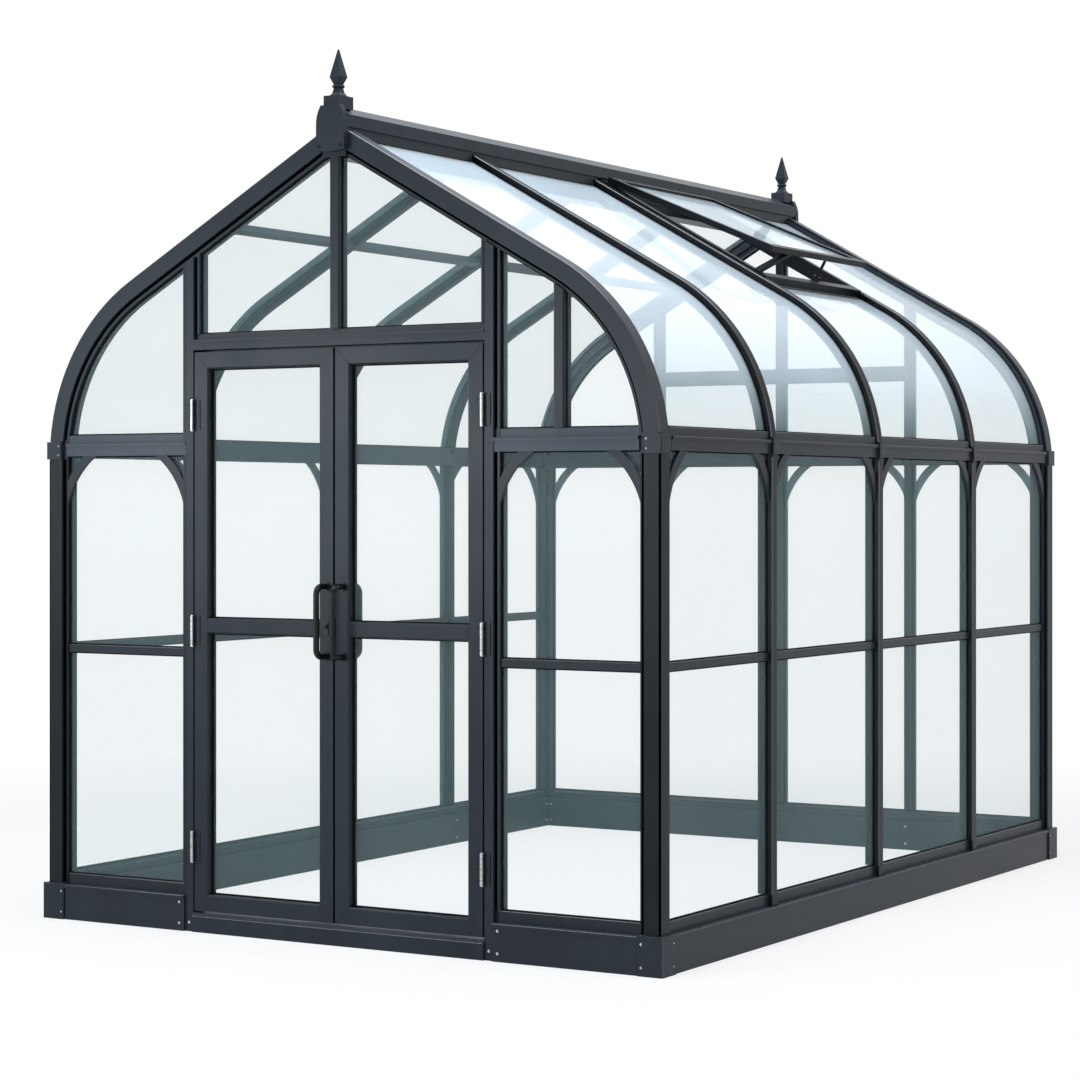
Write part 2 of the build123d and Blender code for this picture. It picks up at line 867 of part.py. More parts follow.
def vent_bay():
    """Number of the roof bay that holds the vent, counted from the front."""
    place = front_y + 2 * half_depth * vent_place_share
    return sum(1 for y in rib_places if y < place)


def vent_middle():
    """Middle of the vent bay and half the clear width between the rib caps."""
    start, end = rib_spans(cap_width / 2)[vent_bay()]
    return (start + end) / 2, (end - start) / 2


def vent_curb():
    """Frame that fills the bay below the ridge and carries the vent."""
    centre, half = vent_middle()
    frame = block(-overrun, vent_length, -half, half, -curb_depth, curb_rise)
    hole = block(curb_width, vent_length - curb_width, -half + curb_width, half - curb_width,
                 -overrun, overrun)
    ridge = block(-overrun, ridge_half, -base_depth, base_depth, 0, ridge_top + overrun)
    return Pos(0, centre, 0) * (slope * (frame - hole)) - ridge


def sash_place():
    """Where the sash hangs on the curb, tilted open."""
    centre, half = vent_middle()
    return Pos(0, centre, 0) * slope.location * Pos(curb_width, 0, curb_rise) * Rot(0, -sash_angle, 0)


def sash_sizes():
    """Length and half width of the sash."""
    centre, half = vent_middle()
    return vent_length - 2 * curb_width + sash_lap, half - sash_side_gap


def vent_sash():
    """Frame of the vent, propped open."""
    length, half = sash_sizes()
    frame = block(0, length, -half, half, 0, sash_depth)
    frame -= block(sash_width, length - sash_width, -half + sash_width, half - sash_width, -overrun, overrun)
    seat = sash_width - sash_glass_cover
    slot = glass_thickness + 2 * clearance
    low, high = (sash_depth - slot) / 2, (sash_depth + slot) / 2
    frame -= block(seat, length - seat, -half + seat, half - seat, low, high)
    return sash_place() * frame


def vent_glass():
    """Pane of the vent."""
    length, half = sash_sizes()
    seat = sash_width - sash_glass_cover + clearance
    return sash_place() * block(seat, length - seat, -half + seat, half - seat,
                                (sash_depth - glass_thickness) / 2, (sash_depth + glass_thickness) / 2)


def vent_stays():
    """Diagonal arm and slim peg stay that prop the bottom rail of the sash on the curb."""
    centre, half = vent_middle()
    length, sash_half = sash_sizes()
    rise = length * math.sin(math.radians(sash_angle))
    head = -half + 2 * half * arm_head_share
    line = curb_width + length * math.cos(math.radians(sash_angle)) - sash_width / 2
    arm_face = outline([
        (-half, curb_rise), (-half + arm_width, curb_rise), (head + arm_width, curb_rise + rise),
        (head, curb_rise + rise),
    ])
    arm = Pos(line - arm_thickness / 2, 0, 0) * extrude(Plane.YZ * arm_face, arm_thickness)
    place = -half + 2 * half * stay_place_share
    stay = block(line - stay_thickness / 2, line + stay_thickness / 2, place, place + stay_width,
                 curb_rise, curb_rise + rise)
    stay += block(line - stay_foot / 2, line + stay_foot / 2, place - stay_foot / 2, place + stay_foot / 2,
                  curb_rise, curb_rise + stay_foot_height)
    under = sash_place() * block(-overrun, vent_length + overrun, -half, half, -overrun, 0)
    return solids_of([(Pos(0, centre, 0) * (slope * piece)) & under for piece in (arm, stay)])


# Doors

leaf_bottom = threshold_height + leaf_bottom_gap
leaf_top = header_bottom - leaf_top_gap
leaf_near = meeting_gap / 2
leaf_far = door_half - leaf_gap
leaf_panes = (
    (leaf_bottom + leaf_stile, lock_rail_bottom),
    (lock_rail_bottom + lock_rail_height, leaf_top - leaf_stile),
)


def leaf_frame():
    """Right-hand leaf with two glazed openings."""
    frame = block(leaf_near, leaf_far, 0, leaf_depth, leaf_bottom, leaf_top)
    left, right = leaf_near + leaf_stile, leaf_far - leaf_stile
    for low, high in leaf_panes:
        frame -= block(left, right, -overrun, overrun, low, high)
        frame -= block(left - door_slot, right + door_slot, leaf_glass_set - clearance,
                       leaf_glass_set + glass_thickness + clearance, low - door_slot, high + door_slot)
        bevel = Rectangle(right - left + 2 * leaf_bevel, high - low + 2 * leaf_bevel)
        mouth = extrude(bevel, leaf_bevel, taper=bevel_angle)
        frame -= Pos((left + right) / 2, 0, (low + high) / 2) * Rot(-90, 0, 0) * mouth
    return to_front * frame


def leaf_glass():
    """Panes of the right-hand leaf."""
    edge = door_slot - clearance
    left, right = leaf_near + leaf_stile - edge, leaf_far - leaf_stile + edge
    return solids_of([
        to_front * block(left, right, leaf_glass_set, leaf_glass_set + glass_thickness,
                         low - edge, high + edge)
        for low, high in leaf_panes
    ])


def handle():
    """Bent bar handle on the outer face, at the origin across the door."""
    low, high = handle_middle - handle_span / 2, handle_middle + handle_span / 2
    path = FilletPolyline((0, 0, high), (0, -handle_reach, high), (0, -handle_reach, low), (0, 0, low),
                          radius=handle_bend)
    ring = Plane((0, 0, high), z_dir=(0, -1, 0)) * Circle(handle_bar / 2)
    bar = sweep(ring, path=path)
    for level in (low, high):
        bar += Pos(0, -handle_foot_thickness / 2, level) * Rot(90, 0, 0) * Cylinder(handle_foot / 2,
                                                                                   handle_foot_thickness)
    return bar


def leaf_handles():
    """Handles outside and inside on the meeting stile of the right-hand leaf."""
    outside = Pos(leaf_near + leaf_stile / 2, 0, 0) * handle()
    inside = mirror(outside, about=Plane((0, leaf_depth / 2, 0), x_dir=(1, 0, 0), z_dir=(0, 1, 0)))
    return solids_of([to_front * outside, to_front * inside])


def lock_cylinder():
    """Key cylinder on the meeting stile of the left-hand leaf."""
    barrel = Rot(90, 0, 0) * Cylinder(lock_radius, lock_length)
    return to_front * Pos(-leaf_near - leaf_stile / 2, -lock_length / 2, lock_height) * barrel


def hinge_barrel(radius, low, high):
    """Upright cylinder on the hinge axis."""
    return Pos(hinge_x, hinge_y, (low + high) / 2) * Cylinder(radius, high - low)


def hinge_pair(middle_height):
    """Fixed and moving half of one hinge of the right-hand leaf."""
    low, high = middle_height - hinge_length / 2, middle_height + hinge_length / 2
    third = hinge_length / 3
    inner_low, inner_high = low + third, high - third
    room = knuckle_radius + knuckle_gap
    back = front_y - hinge_leaf_thickness
    fixed = block(hinge_x + knuckle_gap, hinge_x + hinge_leaf_width, back, front_y, low, high)
    fixed -= hinge_barrel(room, inner_low - knuckle_gap, inner_high + knuckle_gap)
    fixed += hinge_barrel(knuckle_radius, low, inner_low - knuckle_gap)
    fixed += hinge_barrel(knuckle_radius, inner_high + knuckle_gap, high)
    fixed += hinge_barrel(pin_radius, low, high)
    moving = block(hinge_x - hinge_leaf_width, hinge_x - knuckle_gap, back, front_y, low, high)
    moving -= hinge_barrel(room, low, inner_low)
    moving -= hinge_barrel(room, inner_high, high)
    moving += hinge_barrel(knuckle_radius, inner_low, inner_high)
    moving -= hinge_barrel(pin_radius + pin_fit, low, high)
    return fixed, moving


def hinge_halves(which):
    """Fixed or moving halves of the three hinges of the right-hand leaf."""
    return [hinge_pair(height)[which] for height in hinge_heights]


def jamb_hinges():
    """Hinge halves and pins on both jambs."""
    right = hinge_halves(0)
    return solids_of(right + [mirrored(p) for p in right])


def write_parts():
    """Write every piece as its own file."""
    os.makedirs("parts", exist_ok=True)
    right_hinges = solids_of(hinge_halves(1))
    pieces = {
        "base_corner_blocks": corner_blocks(),
        "base_front": base_front(),
        "base_back": base_back(),
        "base_sides": base_sides(),
        "door_threshold": door_threshold(),
        "corner_posts": corner_posts(),
        "right_side_posts": right_side_posts(),
        "left_side_posts": mirrored(right_side_posts()),
        "back_posts": back_posts(),
        "door_jambs": door_jambs(),
        "door_header": door_header(),
        "back_transom": back_transom(),
        "front_eave_beams": front_eave_beams(),
        "back_eave_beams": back_eave_beams(),
        "side_eave_beams": side_eave_beams(),
        "eave_brackets": eave_brackets(),
        "end_mid_rails": end_mid_rails(),
        "side_mid_rails": side_mid_rails(),
        "end_knee_braces": end_knee_braces(),
        "side_knee_braces": side_knee_braces(),
        "front_gable_mullions": front_gable_mullions(),
        "front_gable_ribs": front_gable_ribs(),
        "back_gable_ribs": back_gable_ribs(),
        "right_roof_ribs": right_roof_ribs(),
        "left_roof_ribs": mirrored(right_roof_ribs()),
        "ridge_beam": ridge_beam(),
        "ridge_finials": ridge_finials(),
        "left_roof_purlin": left_roof_purlin(),
        "front_glass": front_glass(),
        "back_glass": back_glass(),
        "right_wall_glass": right_wall_glass(),
        "left_wall_glass": left_wall_glass(),
        "right_roof_glass": right_roof_glass(),
        "left_roof_glass": left_roof_glass(),
        "vent_curb": vent_curb(),
        "vent_sash": vent_sash(),
        "vent_glass": vent_glass(),
        "vent_stays": vent_stays(),
        "right_door_frame": leaf_frame(),
        "left_door_frame": mirrored(leaf_frame()),
        "right_door_glass": leaf_glass(),
        "left_door_glass": mirrored(leaf_glass()),
        "right_door_handles": leaf_handles(),
        "left_door_handles": mirrored(leaf_handles()),
        "door_lock": lock_cylinder(),
        "right_door_hinges": right_hinges,
        "left_door_hinges": mirrored(right_hinges),
        "jamb_hinges": jamb_hinges(),
    }
    for name, piece in pieces.items():
        export_step(piece, os.path.join("parts", name + ".step"))


write_parts()
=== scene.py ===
"""Looks, small fittings, stage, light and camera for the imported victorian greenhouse."""

import logging
import math
from dataclasses import dataclass, field
from enum import Enum
from typing import Iterable, Sequence

import bmesh
import bpy
from mathutils import Matrix, Vector


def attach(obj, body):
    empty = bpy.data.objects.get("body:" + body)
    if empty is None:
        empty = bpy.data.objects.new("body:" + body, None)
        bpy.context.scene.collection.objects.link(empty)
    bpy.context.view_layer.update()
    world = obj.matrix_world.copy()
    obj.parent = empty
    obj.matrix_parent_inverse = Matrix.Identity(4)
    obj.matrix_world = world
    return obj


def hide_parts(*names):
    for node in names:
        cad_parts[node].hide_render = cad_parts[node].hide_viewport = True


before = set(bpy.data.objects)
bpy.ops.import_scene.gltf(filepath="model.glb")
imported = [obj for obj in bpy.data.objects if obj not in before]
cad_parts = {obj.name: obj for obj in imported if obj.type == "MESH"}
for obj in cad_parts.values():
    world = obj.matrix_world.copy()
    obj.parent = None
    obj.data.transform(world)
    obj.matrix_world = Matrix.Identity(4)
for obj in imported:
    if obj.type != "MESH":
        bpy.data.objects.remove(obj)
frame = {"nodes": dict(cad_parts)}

LOG = logging.getLogger("greenhouse")
WHITE = (1.0, 1.0, 1.0, 1.0)

Triple = tuple[float, float, float]
Colour = Triple
Span = tuple[float, float]
Key = str | int
Line = tuple[list[Vector], list[Vector]]
Mark = tuple[Triple, Triple]


class Body(Enum):
    """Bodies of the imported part."""

    HOUSE = "greenhouse"
    LEFT = "left_door"
    RIGHT = "right_door"


class Wall(Enum):
    """Walls of the house, by the way that they face."""

    FRONT = (0, -1, 0)
    BACK = (0, 1, 0)
    RIGHT = (1, 0, 0)
    LEFT = (-1, 0, 0)


class Slot(Enum):
    """Material slots of the record."""

    PAINT = "frame_paint"
    GLASS = "glass"
    STEEL = "hinge_steel"
    BLACK = "handle_black"


# Node trees


class Wire:
    """One output of a node tree, with arithmetic that adds Math nodes."""

    def __init__(self, graph: "Graph", socket: bpy.types.NodeSocket) -> None:
        """Keep the socket and the graph that it belongs to."""
        self.graph = graph
        self.socket = socket

    def _math(self, operation: str, *terms: "Wire | float") -> "Wire":
        """Add one Math node over the terms."""
        return self.graph.node("ShaderNodeMath", {"operation": operation}, dict(enumerate(terms)))

    def __add__(self, other: "Wire | float") -> "Wire":
        """Sum."""
        return self._math("ADD", self, other)

    def __radd__(self, other: float) -> "Wire":
        """Sum with a number first."""
        return self._math("ADD", other, self)

    def __sub__(self, other: "Wire | float") -> "Wire":
        """Difference."""
        return self._math("SUBTRACT", self, other)

    def __rsub__(self, other: float) -> "Wire":
        """Difference with a number first."""
        return self._math("SUBTRACT", other, self)

    def __mul__(self, other: "Wire | float") -> "Wire":
        """Product."""
        return self._math("MULTIPLY", self, other)

    def __rmul__(self, other: float) -> "Wire":
        """Product with a number first."""
        return self._math("MULTIPLY", other, self)

    def __pow__(self, other: "Wire | float") -> "Wire":
        """Power."""
        return self._math("POWER", self, other)

    def size(self) -> "Wire":
        """Value without its sign."""
        return self._math("ABSOLUTE", self)

    def most(self, other: "Wire | float") -> "Wire":
        """Larger of two values."""
        return self._math("MAXIMUM", self, other)

    def least(self, other: "Wire | float") -> "Wire":
        """Smaller of two values."""
        return self._math("MINIMUM", self, other)

    def ramp(self, low: float, high: float, start: float = 0.0, end: float = 1.0) -> "Wire":
        """Smooth step from start to end.

        Args:
            low: Value where the step begins.
            high: Value where it ends.
            start: Result below the step.
            end: Result above it.

        Returns:
            The stepped value.
        """
        values = {"Value": self, "From Min": low, "From Max": high, "To Min": start, "To Max": end}
        return self.graph.node("ShaderNodeMapRange", {"interpolation_type": "SMOOTHSTEP"}, values)


class Graph:
    """Node tree in the making."""

    def __init__(self, tree: bpy.types.NodeTree) -> None:
        """Start on a tree without the nodes that it came with."""
        self.tree = tree
        tree.nodes.clear()

    def node(self, kind: str, settings: dict[str, object] | None = None,
             inputs: dict[Key, object] | None = None, output: Key = 0) -> Wire:
        """Add one node.

        Args:
            kind: Type name of the node.
            settings: Properties, which are set before the sockets.
            inputs: Values, wires or lists of wires by socket name or number.
            output: Name or number of the output to go on from.

        Returns:
            The chosen output.
        """
        made = self.tree.nodes.new(kind)
        for name, value in (settings or {}).items():
            setattr(made, name, value)
        for key, value in (inputs or {}).items():
            wires = value if isinstance(value, list) else [value]
            for wire in wires:
                if isinstance(wire, Wire):
                    self.tree.links.new(wire.socket, made.inputs[key])
                else:
                    made.inputs[key].default_value = wire
        return Wire(self, made.outputs[output]) if made.outputs else None

    def place(self) -> Wire:
        """Object coordinates, which are the part's own frame in metres."""
        return self.node("ShaderNodeTexCoord", output="Object")

    def stretch(self, vector: Wire, factors: Triple) -> Wire:
        """Vector multiplied axis by axis."""
        return self.node("ShaderNodeVectorMath", {"operation": "MULTIPLY"}, {0: vector, 1: factors})

    def noise(self, vector: Wire, scale: float, detail: float = 2.0, twist: float = 0.0) -> Wire:
        """Noise value between 0 and 1."""
        values = {"Vector": vector, "Scale": scale, "Detail": detail, "Distortion": twist}
        return self.node("ShaderNodeTexNoise", None, values, "Fac")

    def blend(self, share: Wire | float, first: object, second: object) -> Wire:
        """Colour between two colours.

        Args:
            share: How much of the second colour shows.
            first: Wire or plain colour.
            second: Wire or plain colour.

        Returns:
            The blended colour.
        """
        first, second = (c if isinstance(c, Wire) else (*c, 1.0) for c in (first, second))
        return self.node("ShaderNodeMix", {"data_type": "RGBA"}, {0: share, 6: first, 7: second}, 2)

    def bump(self, height: Wire, strength: float, distance: float) -> Wire:
        """Normal bent by a height."""
        values = {"Height": height, "Strength": strength, "Distance": distance}
        return self.node("ShaderNodeBump", None, values, "Normal")

    def part(self, vector: Wire, axis: str) -> Wire:
        """One component of a vector."""
        return self.node("ShaderNodeSeparateXYZ", None, {0: vector}, axis)

    def facing(self, axis: str) -> Wire:
        """How far a surface faces along an axis, from -1 to 1."""
        return self.part(self.node("ShaderNodeNewGeometry", output="Normal"), axis)

    def ray(self, kind: str) -> Wire:
        """1 for one kind of ray and 0 for others."""
        return self.node("ShaderNodeLightPath", output=kind)

    def seen(self) -> Wire:
        """1 for what the camera sees straight, in a reflection or through glass."""
        return self.ray("Is Camera Ray").most(self.ray("Is Glossy Ray")).most(self.ray("Is Transmission Ray"))


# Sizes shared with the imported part


@dataclass(frozen=True)
class Plan:
    """Main sizes and places of the greenhouse, in metres."""

    half_width: float = 1.206
    front: float = -1.653
    back: float = 1.693
    ribs: tuple[float, ...] = (-0.86669, -0.01346, 0.8565)
    corner: float = 0.076
    bar: float = 0.014
    glass_outer: float = 0.024
    glass_inner: float = 0.028
    base_top: float = 0.120
    base_inner: float = 0.076
    main: float = 0.058
    flange_set: float = 0.010
    bead_top: float = 0.158
    mid_rail: Span = (0.924, 0.950)
    eave: float = 1.600
    rail_top: float = 1.672
    header: Span = (1.952, 2.006)
    door_half: float = 0.576
    jamb_out: float = 0.609
    flange: float = 0.018
    extra_bar: float = 0.84616
    back_post: float = 0.592
    spring: float = 1.590
    arc_radius: float = 0.694
    pitch: float = math.radians(29.6)
    ridge_half: float = 0.046
    plate_thickness: float = 0.024
    plate_screw: Span = (0.042, 2.59827)
    vent_length: float = 0.800
    vent_bay: int = 2
    plinth_proud: float = 0.008
    block_proud: float = 0.014
    bracket_bottom: float = 1.588
    hinge_x: float = 0.573
    hinge_out: float = 0.0083
    hinge_length: float = 0.102
    hinge_heights: tuple[float, ...] = (0.286, 1.010, 1.733)

    @property
    def ends(self) -> tuple[tuple[float, int], ...]:
        """Front and back faces, and the way that each looks along the length."""
        return (self.front, -1), (self.back, 1)

    @property
    def back_posts(self) -> Triple:
        """Places of the posts of the back wall."""
        return -self.back_post, 0.0, self.back_post

    @property
    def inner(self) -> float:
        """Inner edge of the corner posts, from the middle."""
        return self.half_width - self.corner

    @property
    def middle(self) -> float:
        """Middle of the length."""
        return (self.front + self.back) / 2

    @property
    def arc_x(self) -> float:
        """Place of the centre line of the eave arc."""
        return self.half_width - self.arc_radius

    def wall_point(self, wall: Wall, u: float, z: float, depth: float) -> Vector:
        """Point in a wall.

        Args:
            wall: The wall.
            u: Place along the wall, in the part's own axis.
            z: Height.
            depth: Distance behind the outer face.

        Returns:
            The point.
        """
        return {
            Wall.FRONT: Vector((u, self.front + depth, z)),
            Wall.BACK: Vector((u, self.back - depth, z)),
            Wall.RIGHT: Vector((self.half_width - depth, u, z)),
            Wall.LEFT: Vector((depth - self.half_width, u, z)),
        }[wall]

    def apex(self, depth: float) -> float:
        """Height where both slopes would meet.

        Args:
            depth: Depth below the roof's outer surface.

        Returns:
            Height of the meeting line above the ground.
        """
        radius = self.arc_radius - depth
        reach = self.arc_x + radius * math.sin(self.pitch)
        return self.spring + radius * math.cos(self.pitch) + reach * math.tan(self.pitch)

    def ridge_bottom(self) -> float:
        """Underside of the ridge bar."""
        return self.apex(self.corner) - self.ridge_half * math.tan(self.pitch)

    def roof_height(self, x: float, depth: float) -> float:
        """Height of the roof line.

        Args:
            x: Distance from the middle.
            depth: Distance below the outer surface.

        Returns:
            The height, no higher than the underside of the ridge bar.
        """
        radius = self.arc_radius - depth
        x = abs(x)
        if x > self.arc_x + radius * math.sin(self.pitch):
            return self.spring + math.sqrt(max(0.0, radius ** 2 - (x - self.arc_x) ** 2))
        return min(self.apex(depth) - x * math.tan(self.pitch), self.ridge_bottom())

    def roof_reach(self, height: float, depth: float) -> float:
        """Distance from the middle where the eave arc has a height."""
        return self.arc_x + math.sqrt((self.arc_radius - depth) ** 2 - (height - self.spring) ** 2)

    def bays(self, edges: Iterable[float], start: float, end: float) -> list[Span]:
        """Clear spans between glazing bars.

        Args:
            edges: Places of the bars.
            start: Near end of the first span.
            end: Far end of the last span.

        Returns:
            Start and end of every span.
        """
        edges = list(edges)
        starts = [start] + [e + self.bar for e in edges]
        ends = [e - self.bar for e in edges] + [end]
        return list(zip(starts, ends))

    def roof_bays(self) -> list[Span]:
        """Clear spans between the ribs, along the length."""
        return self.bays(self.ribs, self.front + self.corner, self.back - self.corner)

    def back_bays(self) -> list[Span]:
        """Clear spans between the posts of the back wall."""
        return self.bays(self.back_posts, -self.inner, self.inner)

    def slope_line(self, depth: float, bottom: float, end: float, steps: int) -> Line:
        """Run up the right-hand slope.

        Args:
            depth: Distance below the outer surface.
            bottom: Height of the lower end.
            end: Distance of the upper end from the middle.
            steps: Number of flats round the eave arc.

        Returns:
            Points and outward normals, from the eave to the ridge.
        """
        radius = self.arc_radius - depth
        low, high = math.asin((bottom - self.spring) / radius), math.pi / 2 - self.pitch
        turns = [low + (high - low) * i / steps for i in range(steps + 1)]
        normals = [Vector((math.cos(t), 0, math.sin(t))) for t in turns]
        points = [Vector((self.arc_x, 0, self.spring)) + n * radius for n in normals]
        points.append(Vector((end, 0, self.apex(depth) - end * math.tan(self.pitch))))
        return points, normals + [normals[-1]]


# Finishes


@dataclass(frozen=True)
class Finish:
    """Base of all finishes: a named material that is made once."""

    name: str

    def surface(self, graph: Graph) -> Wire:
        """Shader of the finish, which each kind gives."""
        raise NotImplementedError

    def material(self) -> bpy.types.Material:
        """Make the material, or find it if it is there.

        Returns:
            The material.
        """
        found = bpy.data.materials.get(self.name)
        if found is None:
            found = bpy.data.materials.new(self.name)
            found.use_nodes = True
            graph = Graph(found.node_tree)
            graph.node("ShaderNodeOutputMaterial", None, {"Surface": self.surface(graph)})
        return found


@dataclass(frozen=True)
class PowderCoat(Finish):
    """Charcoal powder coat with a fine orange peel, a pale cast on what faces up that is partly dusty and
    partly painted light from above, and painted shade, by a given share, on faces that don't face along Y.
    """

    dark: Colour = (0.0160, 0.0215, 0.0280)
    light: Colour = (0.0220, 0.0290, 0.0370)
    # Pale colour on what faces up and its share: partly dusty, partly painted light from above.
    dust_and_top_light: Colour = (0.12, 0.145, 0.17)
    dust_and_top_light_share: float = 0.30
    # Share of painted shade on faces that don't face along Y.
    painted_shade_share: float = 0.0
    gloss: float = 0.13
    rough: Span = (0.26, 0.38)
    cloud_scale: float = 2.3
    peel_scale: float = 640.0
    peel_strength: float = 0.07
    peel_depth: float = 0.0005
    streak_scale: Triple = (14.0, 14.0, 0.9)
    # Near black colour of the painted shade on faces that don't face along Y.
    painted_shade: Colour = (0.003, 0.003, 0.004)

    def surface(self, graph: Graph) -> Wire:
        """Shader of the paint.

        Args:
            graph: Tree to build in.

        Returns:
            The shader.
        """
        place = graph.place()
        cloud = graph.noise(place, self.cloud_scale, 3.0, 0.3)
        peel = graph.noise(place, self.peel_scale, 1.0)
        streak = graph.noise(graph.stretch(place, self.streak_scale), 1.0, 2.0)
        # Pale cast on faces that face up, patchy by the cloud: partly dusty, partly painted light from above.
        dust_and_top_light = graph.facing("Z").ramp(0.25, 1.0) * cloud.ramp(0.2, 0.8, 0.6, 1.0) * self.dust_and_top_light_share
        tone = graph.blend((cloud * 0.6 + streak * 0.4).ramp(0.3, 0.7), self.dark, self.light)
        tone = graph.blend(dust_and_top_light, tone, self.dust_and_top_light)
        # Painted shade: faces that don't face along Y, such as the inner sides of the door leaves' pane
        # openings, go towards near black by the painted shade share.
        inside = graph.facing("Y").size().ramp(0.3, 0.6, self.painted_shade_share, 0.0)
        return graph.node("ShaderNodeBsdfPrincipled", None, {
            "Base Color": graph.blend(inside, tone, self.painted_shade),
            "Roughness": (cloud * 0.7 + peel * 0.3).ramp(0.25, 0.75, *self.rough),
            "Normal": graph.bump(peel, self.peel_strength, self.peel_depth),
            "Specular IOR Level": self.gloss,
        })


@dataclass(frozen=True)
class Glazing(Finish):
    """Float glass that veils what is behind it a little, more at a flat angle, and that is paler with a
    thicker veil where it faces up: a painted sky reflection.
    """

    tint: Colour = (0.42, 0.62, 0.63)
    pale: Colour = (0.52, 0.71, 0.72)
    veil: float = 0.066
    # Paler colour and extra veil where the glass faces up: a painted sky reflection.
    crown: Colour = (0.78, 0.87, 0.94)
    sky: float = 0.0
    gloss: float = 0.10
    rim: float = 0.35
    rim_power: float = 5.0
    smear: Span = (0.93, 1.07)
    smear_scale: float = 0.9
    smear_stretch: Triple = (1.0, 1.0, 0.55)
    rough: Span = (0.03, 0.07)
    most: float = 0.95
    ior: float = 1.5

    def surface(self, graph: Graph) -> Wire:
        """Shader of the glass.

        Args:
            graph: Tree to build in.

        Returns:
            The shader.
        """
        place = graph.place()
        cloud = graph.noise(graph.stretch(place, self.smear_stretch), self.smear_scale, 2.0, 0.6)
        flat = graph.node("ShaderNodeLayerWeight", None, {"Blend": 0.5}, "Facing")
        # Painted sky reflection: faces that face up get the paler crown colour and a thicker veil.
        up = graph.facing("Z").ramp(0.0, 0.5)
        veil = self.veil + up * self.sky + flat ** self.rim_power * self.rim
        alpha = veil * cloud.ramp(0.3, 0.7, *self.smear)
        tone = graph.blend(cloud.ramp(0.3, 0.7), self.tint, self.pale)
        return graph.node("ShaderNodeBsdfPrincipled", None, {
            "Base Color": graph.blend(up, tone, self.crown),
            "Roughness": cloud.ramp(0.2, 0.8, *self.rough),
            "Alpha": alpha.least(self.most),
            "IOR": self.ior,
            "Specular IOR Level": self.gloss,
        })


@dataclass(frozen=True)
class SatinSteel(Finish):
    """Brushed stainless steel."""

    colour: Colour = (0.46, 0.46, 0.45)
    worn: Colour = (0.30, 0.30, 0.30)
    plate: Colour = (0.018, 0.024, 0.031)
    gloss: float = 0.13
    rough: Span = (0.24, 0.40)
    brush_scale: Triple = (900.0, 900.0, 40.0)
    spot_scale: float = 130.0
    scratch: Span = (0.08, 0.0002)

    def barrel(self, graph: Graph, place: Wire) -> Wire | float:
        """How much of the metal lies bare, 1 for all of it."""
        return 1.0

    def surface(self, graph: Graph) -> Wire:
        """Shader of the steel.

        Args:
            graph: Tree to build in.

        Returns:
            The shader.
        """
        place = graph.place()
        brush = graph.noise(graph.stretch(place, self.brush_scale), 1.0, 2.0)
        spot = graph.noise(place, self.spot_scale, 2.0)
        bare = self.barrel(graph, place)
        metal = graph.blend(spot.ramp(0.45, 0.75), self.colour, self.worn)
        return graph.node("ShaderNodeBsdfPrincipled", None, {
            "Base Color": graph.blend(bare, self.plate, metal),
            "Metallic": bare,
            "Roughness": brush.ramp(0.25, 0.75, *self.rough),
            "Normal": graph.bump(brush, *self.scratch),
            "Specular IOR Level": self.gloss,
        })


@dataclass(frozen=True)
class HingeSteel(SatinSteel):
    """Hinges with a bare barrel and painted plates."""

    axis_x: float = Plan.hinge_x
    reach: Span = (0.0050, 0.0056)

    def barrel(self, graph: Graph, place: Wire) -> Wire:
        """1 near the pin's axis and 0 away from it.

        Args:
            graph: Tree to build in.
            place: Object coordinates.

        Returns:
            The share of bare metal.
        """
        aside = (graph.part(place, "X").size() - self.axis_x).size()
        return aside.ramp(*self.reach, 1.0, 0.0)


@dataclass(frozen=True)
class Dull(Finish):
    """Black lacquer or rubber with a fine grain."""

    colour: Colour = (0.006, 0.006, 0.007)
    pale: Colour = (0.011, 0.011, 0.012)
    rough: Span = (0.24, 0.36)
    gloss: float = 0.5
    grain_scale: float = 900.0
    grain_depth: float = 0.0003
    grain_strength: float = 0.15
    cloud_scale: float = 24.0

    def surface(self, graph: Graph) -> Wire:
        """Shader of the black finish.

        Args:
            graph: Tree to build in.

        Returns:
            The shader.
        """
        place = graph.place()
        cloud = graph.noise(place, self.cloud_scale, 2.0)
        grain = graph.noise(place, self.grain_scale, 1.0)
        return graph.node("ShaderNodeBsdfPrincipled", None, {
            "Base Color": graph.blend(cloud.ramp(0.3, 0.7), self.colour, self.pale),
            "Roughness": cloud.ramp(0.25, 0.75, *self.rough),
            "Normal": graph.bump(grain, self.grain_strength, self.grain_depth),
            "Specular IOR Level": self.gloss,
        })


@dataclass(frozen=True)
class StudioFloor(Finish):
    """White floor that keeps a soft shadow near the house and fades into the backdrop."""

    colour: Colour = (0.90, 0.90, 0.90)
    dull: Colour = (0.86, 0.86, 0.86)
    grain_scale: float = 60.0
    grain: Span = (0.97, 1.0)
    rough: float = 0.9
    near_share: float = 0.72
    near: float = 2.2
    far: float = 6.0

    def surface(self, graph: Graph) -> Wire:
        """Shader of the floor.

        Args:
            graph: Tree to build in.

        Returns:
            The shader.
        """
        place = graph.place()
        away = graph.node("ShaderNodeVectorMath", {"operation": "LENGTH"}, {0: place}, "Value")
        grain = graph.noise(place, self.grain_scale, 2.0).ramp(0.3, 0.7, *self.grain)
        share = away.ramp(self.near, self.far, self.near_share, 1.0) * graph.seen()
        tone = graph.blend(grain, self.dull, self.colour)
        matte = graph.node("ShaderNodeBsdfPrincipled", None, {"Base Color": tone, "Roughness": self.rough})
        white = graph.node("ShaderNodeEmission", None, {"Color": WHITE, "Strength": 1.0})
        return graph.node("ShaderNodeMixShader", None, {0: share, 1: matte, 2: white})


